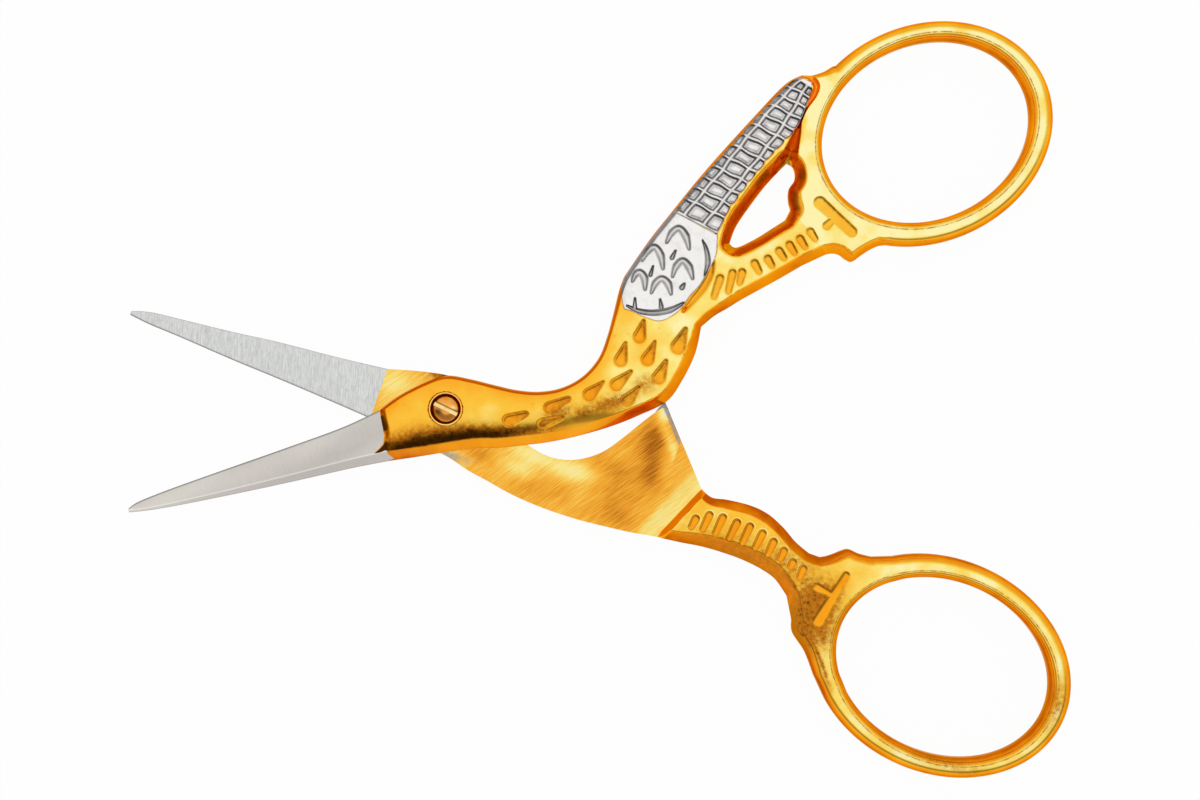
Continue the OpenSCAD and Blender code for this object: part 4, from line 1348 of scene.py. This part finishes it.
def screw():
    """The screw head on rows along its slot: a low dome with the slot sunk in it. Each row is a chord of the head."""
    bend = np.linspace(0, math.pi / 2, FLANK_PLACES)
    lean = np.linspace(-SLOT_LEAN, SLOT_LEAN, 3)
    v = np.concatenate([-np.cos(bend)[:-1] * (SCREW_R - SLOT_HALF) - SLOT_HALF, lean - SLOT_HALF,
                        np.linspace(0.03 - SLOT_HALF, SLOT_HALF - 0.03, SLOT_PLACES), lean + SLOT_HALF,
                        SLOT_HALF + np.sin(bend)[1:] * (SCREW_R - SLOT_HALF)])
    chord = np.sqrt(np.maximum(SCREW_R**2 - v**2, 1e-5))
    u, s = rows(np.stack([-chord, v], 1), np.stack([chord, v], 1), spread(CHORD_PLACES, 0.7))
    r = np.hypot(u, s)
    high = SCREW_TOP - SCREW_DOME * (r / SCREW_R) ** 2 - 0.05 * step(SCREW_R - 0.1, SCREW_R, r)
    high = np.where(np.abs(s) < SLOT_HALF, np.minimum(high, SCREW_TOP - SLOT_DEEP), high)
    return solid("pivot_screw_gold", "back_half", "gold_plating", COPPER,
                 *turned(*turned(u, s, SLOT_TURN), HALF_OPENING), high, SCREW_SEAT, sunk=slot_painted_highlight, smoke=slot_smoke)


# Profile of the rim of the screw's pocket, as [radius, height over the neck, steep share, dark share, which is painted
# shade down into the pocket], and the places round it. Its last two places stand on the floor of the pocket.
RIM = np.array([(1.32, -0.1, 0.3, 0.9), (1.33, -0.01, 0.1, 0), (1.36, 0.03, 0.02, 0), (1.4, 0.035, 0, 0),
                (1.44, 0.01, 0.02, 0), (1.48, -0.04, 0.2, 0), (1.48, -0.3, 0.3, 0), (1.48, 0, 0.5, 1),
                (1.32, 0, 0.5, 1)])
RIM_MIDDLE = 3
RIM_PLACES = 160


def pocket_rim():
    """The burnished rim of the screw's pocket: its profile carried round the axis, each point raised to the neck's own
    height there, down to the pocket floor."""
    turn = np.linspace(0, 2 * math.pi, RIM_PLACES, endpoint=False)[:, None]
    x, y = RIM[:, 0] * np.cos(turn), RIM[:, 0] * np.sin(turn)
    neck = MID + LEG_UP - dome(x, y, FRONT_SIDES)
    z = neck[:, RIM_MIDDLE, None] + RIM[:, 1]
    z[:, -2:] = POCKET_FLOOR - 0.1
    index = np.arange(x.size).reshape(x.shape)
    out_next = np.roll(index, -1, 1)
    quads = np.stack([index, out_next, np.roll(out_next, -1, 0), np.roll(index, -1, 0)], -1).reshape(-1, 4)
    shares = {"steep": np.tile(RIM[:, 2], RIM_PLACES), "sunk": np.full(x.size, -0.2), "warm": np.full(x.size, 0.1),
              "smoke": np.tile(RIM[:, 3], RIM_PLACES)}
    return piece_of("pocket_rim_gold", "front_half", GOLD, np.stack([x, y, z], -1).reshape(-1, 3),
                    quads.tolist(), shares)


pivot_screw = screw()
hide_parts("pivot_screw")
rim = pocket_rim()
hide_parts("front_neck")

# The camera: the place under it, its height over the middle, its roll, and the width of what it sees. The floor: half
# its side and its height, in metres.
VIEW_CENTRE = (13.51, 0.68)
VIEW_HEIGHT = 217.0
VIEW_ROLL = math.radians(-0.4)
VIEW_WIDE = 105.6
SENSOR = 36
FLOOR_HALF = 2.0
FLOOR_Z = -0.0002


def backdrop():
    """A large pale floor just under the scissors, white to the camera with a soft shadow left in it."""
    corners = [(FLOOR_HALF * i, FLOOR_HALF * j, FLOOR_Z) for i, j in ((-1, -1), (1, -1), (1, 1), (-1, 1))]
    floor = object_of("floor", corners, [(0, 1, 2, 3)])
    made, tree, shader = material_of("pale_floor")
    fill(shader.inputs["Base Color"], (0.9, 0.9, 0.9))
    shader.inputs["Roughness"].default_value = 0.8
    path = tree.nodes.new("ShaderNodeLightPath")
    seen, glossy, through = (Value(path.outputs[f"Is {kind} Ray"]) for kind in ("Camera", "Glossy", "Transmission"))
    light = put(tree, "ShaderNodeEmission", Strength=1.0)
    both = tree.nodes.new("ShaderNodeMixShader")
    parts = seen.most(glossy).most(through) * 0.97, Value(shader.outputs[0]), Value(light.outputs[0])
    for socket, value in zip(both.inputs, parts):
        fill(socket, value)
    fill(tree.nodes["Material Output"].inputs["Surface"], Value(both.outputs[0]))
    floor.data.materials.append(made)


def greys(source, stops):
    """Greys along a value."""
    return ramp(source, [(place, (grey,) * 3) for place, grey in stops])


def studio():
    """A soft studio: bright straight above and behind the scissors, and lighter near the floor all round, with a dim
    stretch on the near side between the two, where no lamp stands."""
    world = bpy.data.worlds.new("studio")
    bpy.context.scene.world = world
    world.use_nodes = True
    tree = world.node_tree
    where = tree.nodes.new("ShaderNodeTexCoord")
    parts = tree.nodes.new("ShaderNodeSeparateXYZ")
    fill(parts.inputs[0], Value(where.outputs["Generated"]))
    height = Value(parts.outputs["Z"])
    near = greys(height, [(0.0, 1.0), (0.45, 0.9), (0.6, 0.38), (0.8, 0.32), (0.92, 0.9), (1.0, 1.0)])
    far = greys(height, [(0.0, 1.0), (0.4, 0.8), (0.7, 0.9), (1.0, 1.0)])
    side = put(tree, "ShaderNodeMapRange", interpolation_type="SMOOTHSTEP", From_Min=-0.3, From_Max=0.1)
    fill(side.inputs["Value"], Value(parts.outputs["Y"]))
    fill(tree.nodes["Background"].inputs["Color"], blend(Value(side.outputs["Result"]), near, far))


backdrop()
studio()
camera_data = bpy.data.cameras.new("camera")
camera_data.sensor_width = SENSOR
camera_data.lens = SENSOR * VIEW_HEIGHT / VIEW_WIDE
camera_data.clip_start = 0.01
camera = bpy.data.objects.new("camera", camera_data)
camera.location = (VIEW_CENTRE[0] * MM, VIEW_CENTRE[1] * MM, (MID + VIEW_HEIGHT) * MM)
camera.rotation_euler = (0, 0, VIEW_ROLL)
bpy.context.scene.collection.objects.link(camera)
bpy.context.scene.camera = camera
bpy.context.scene.view_settings.view_transform = "Standard"
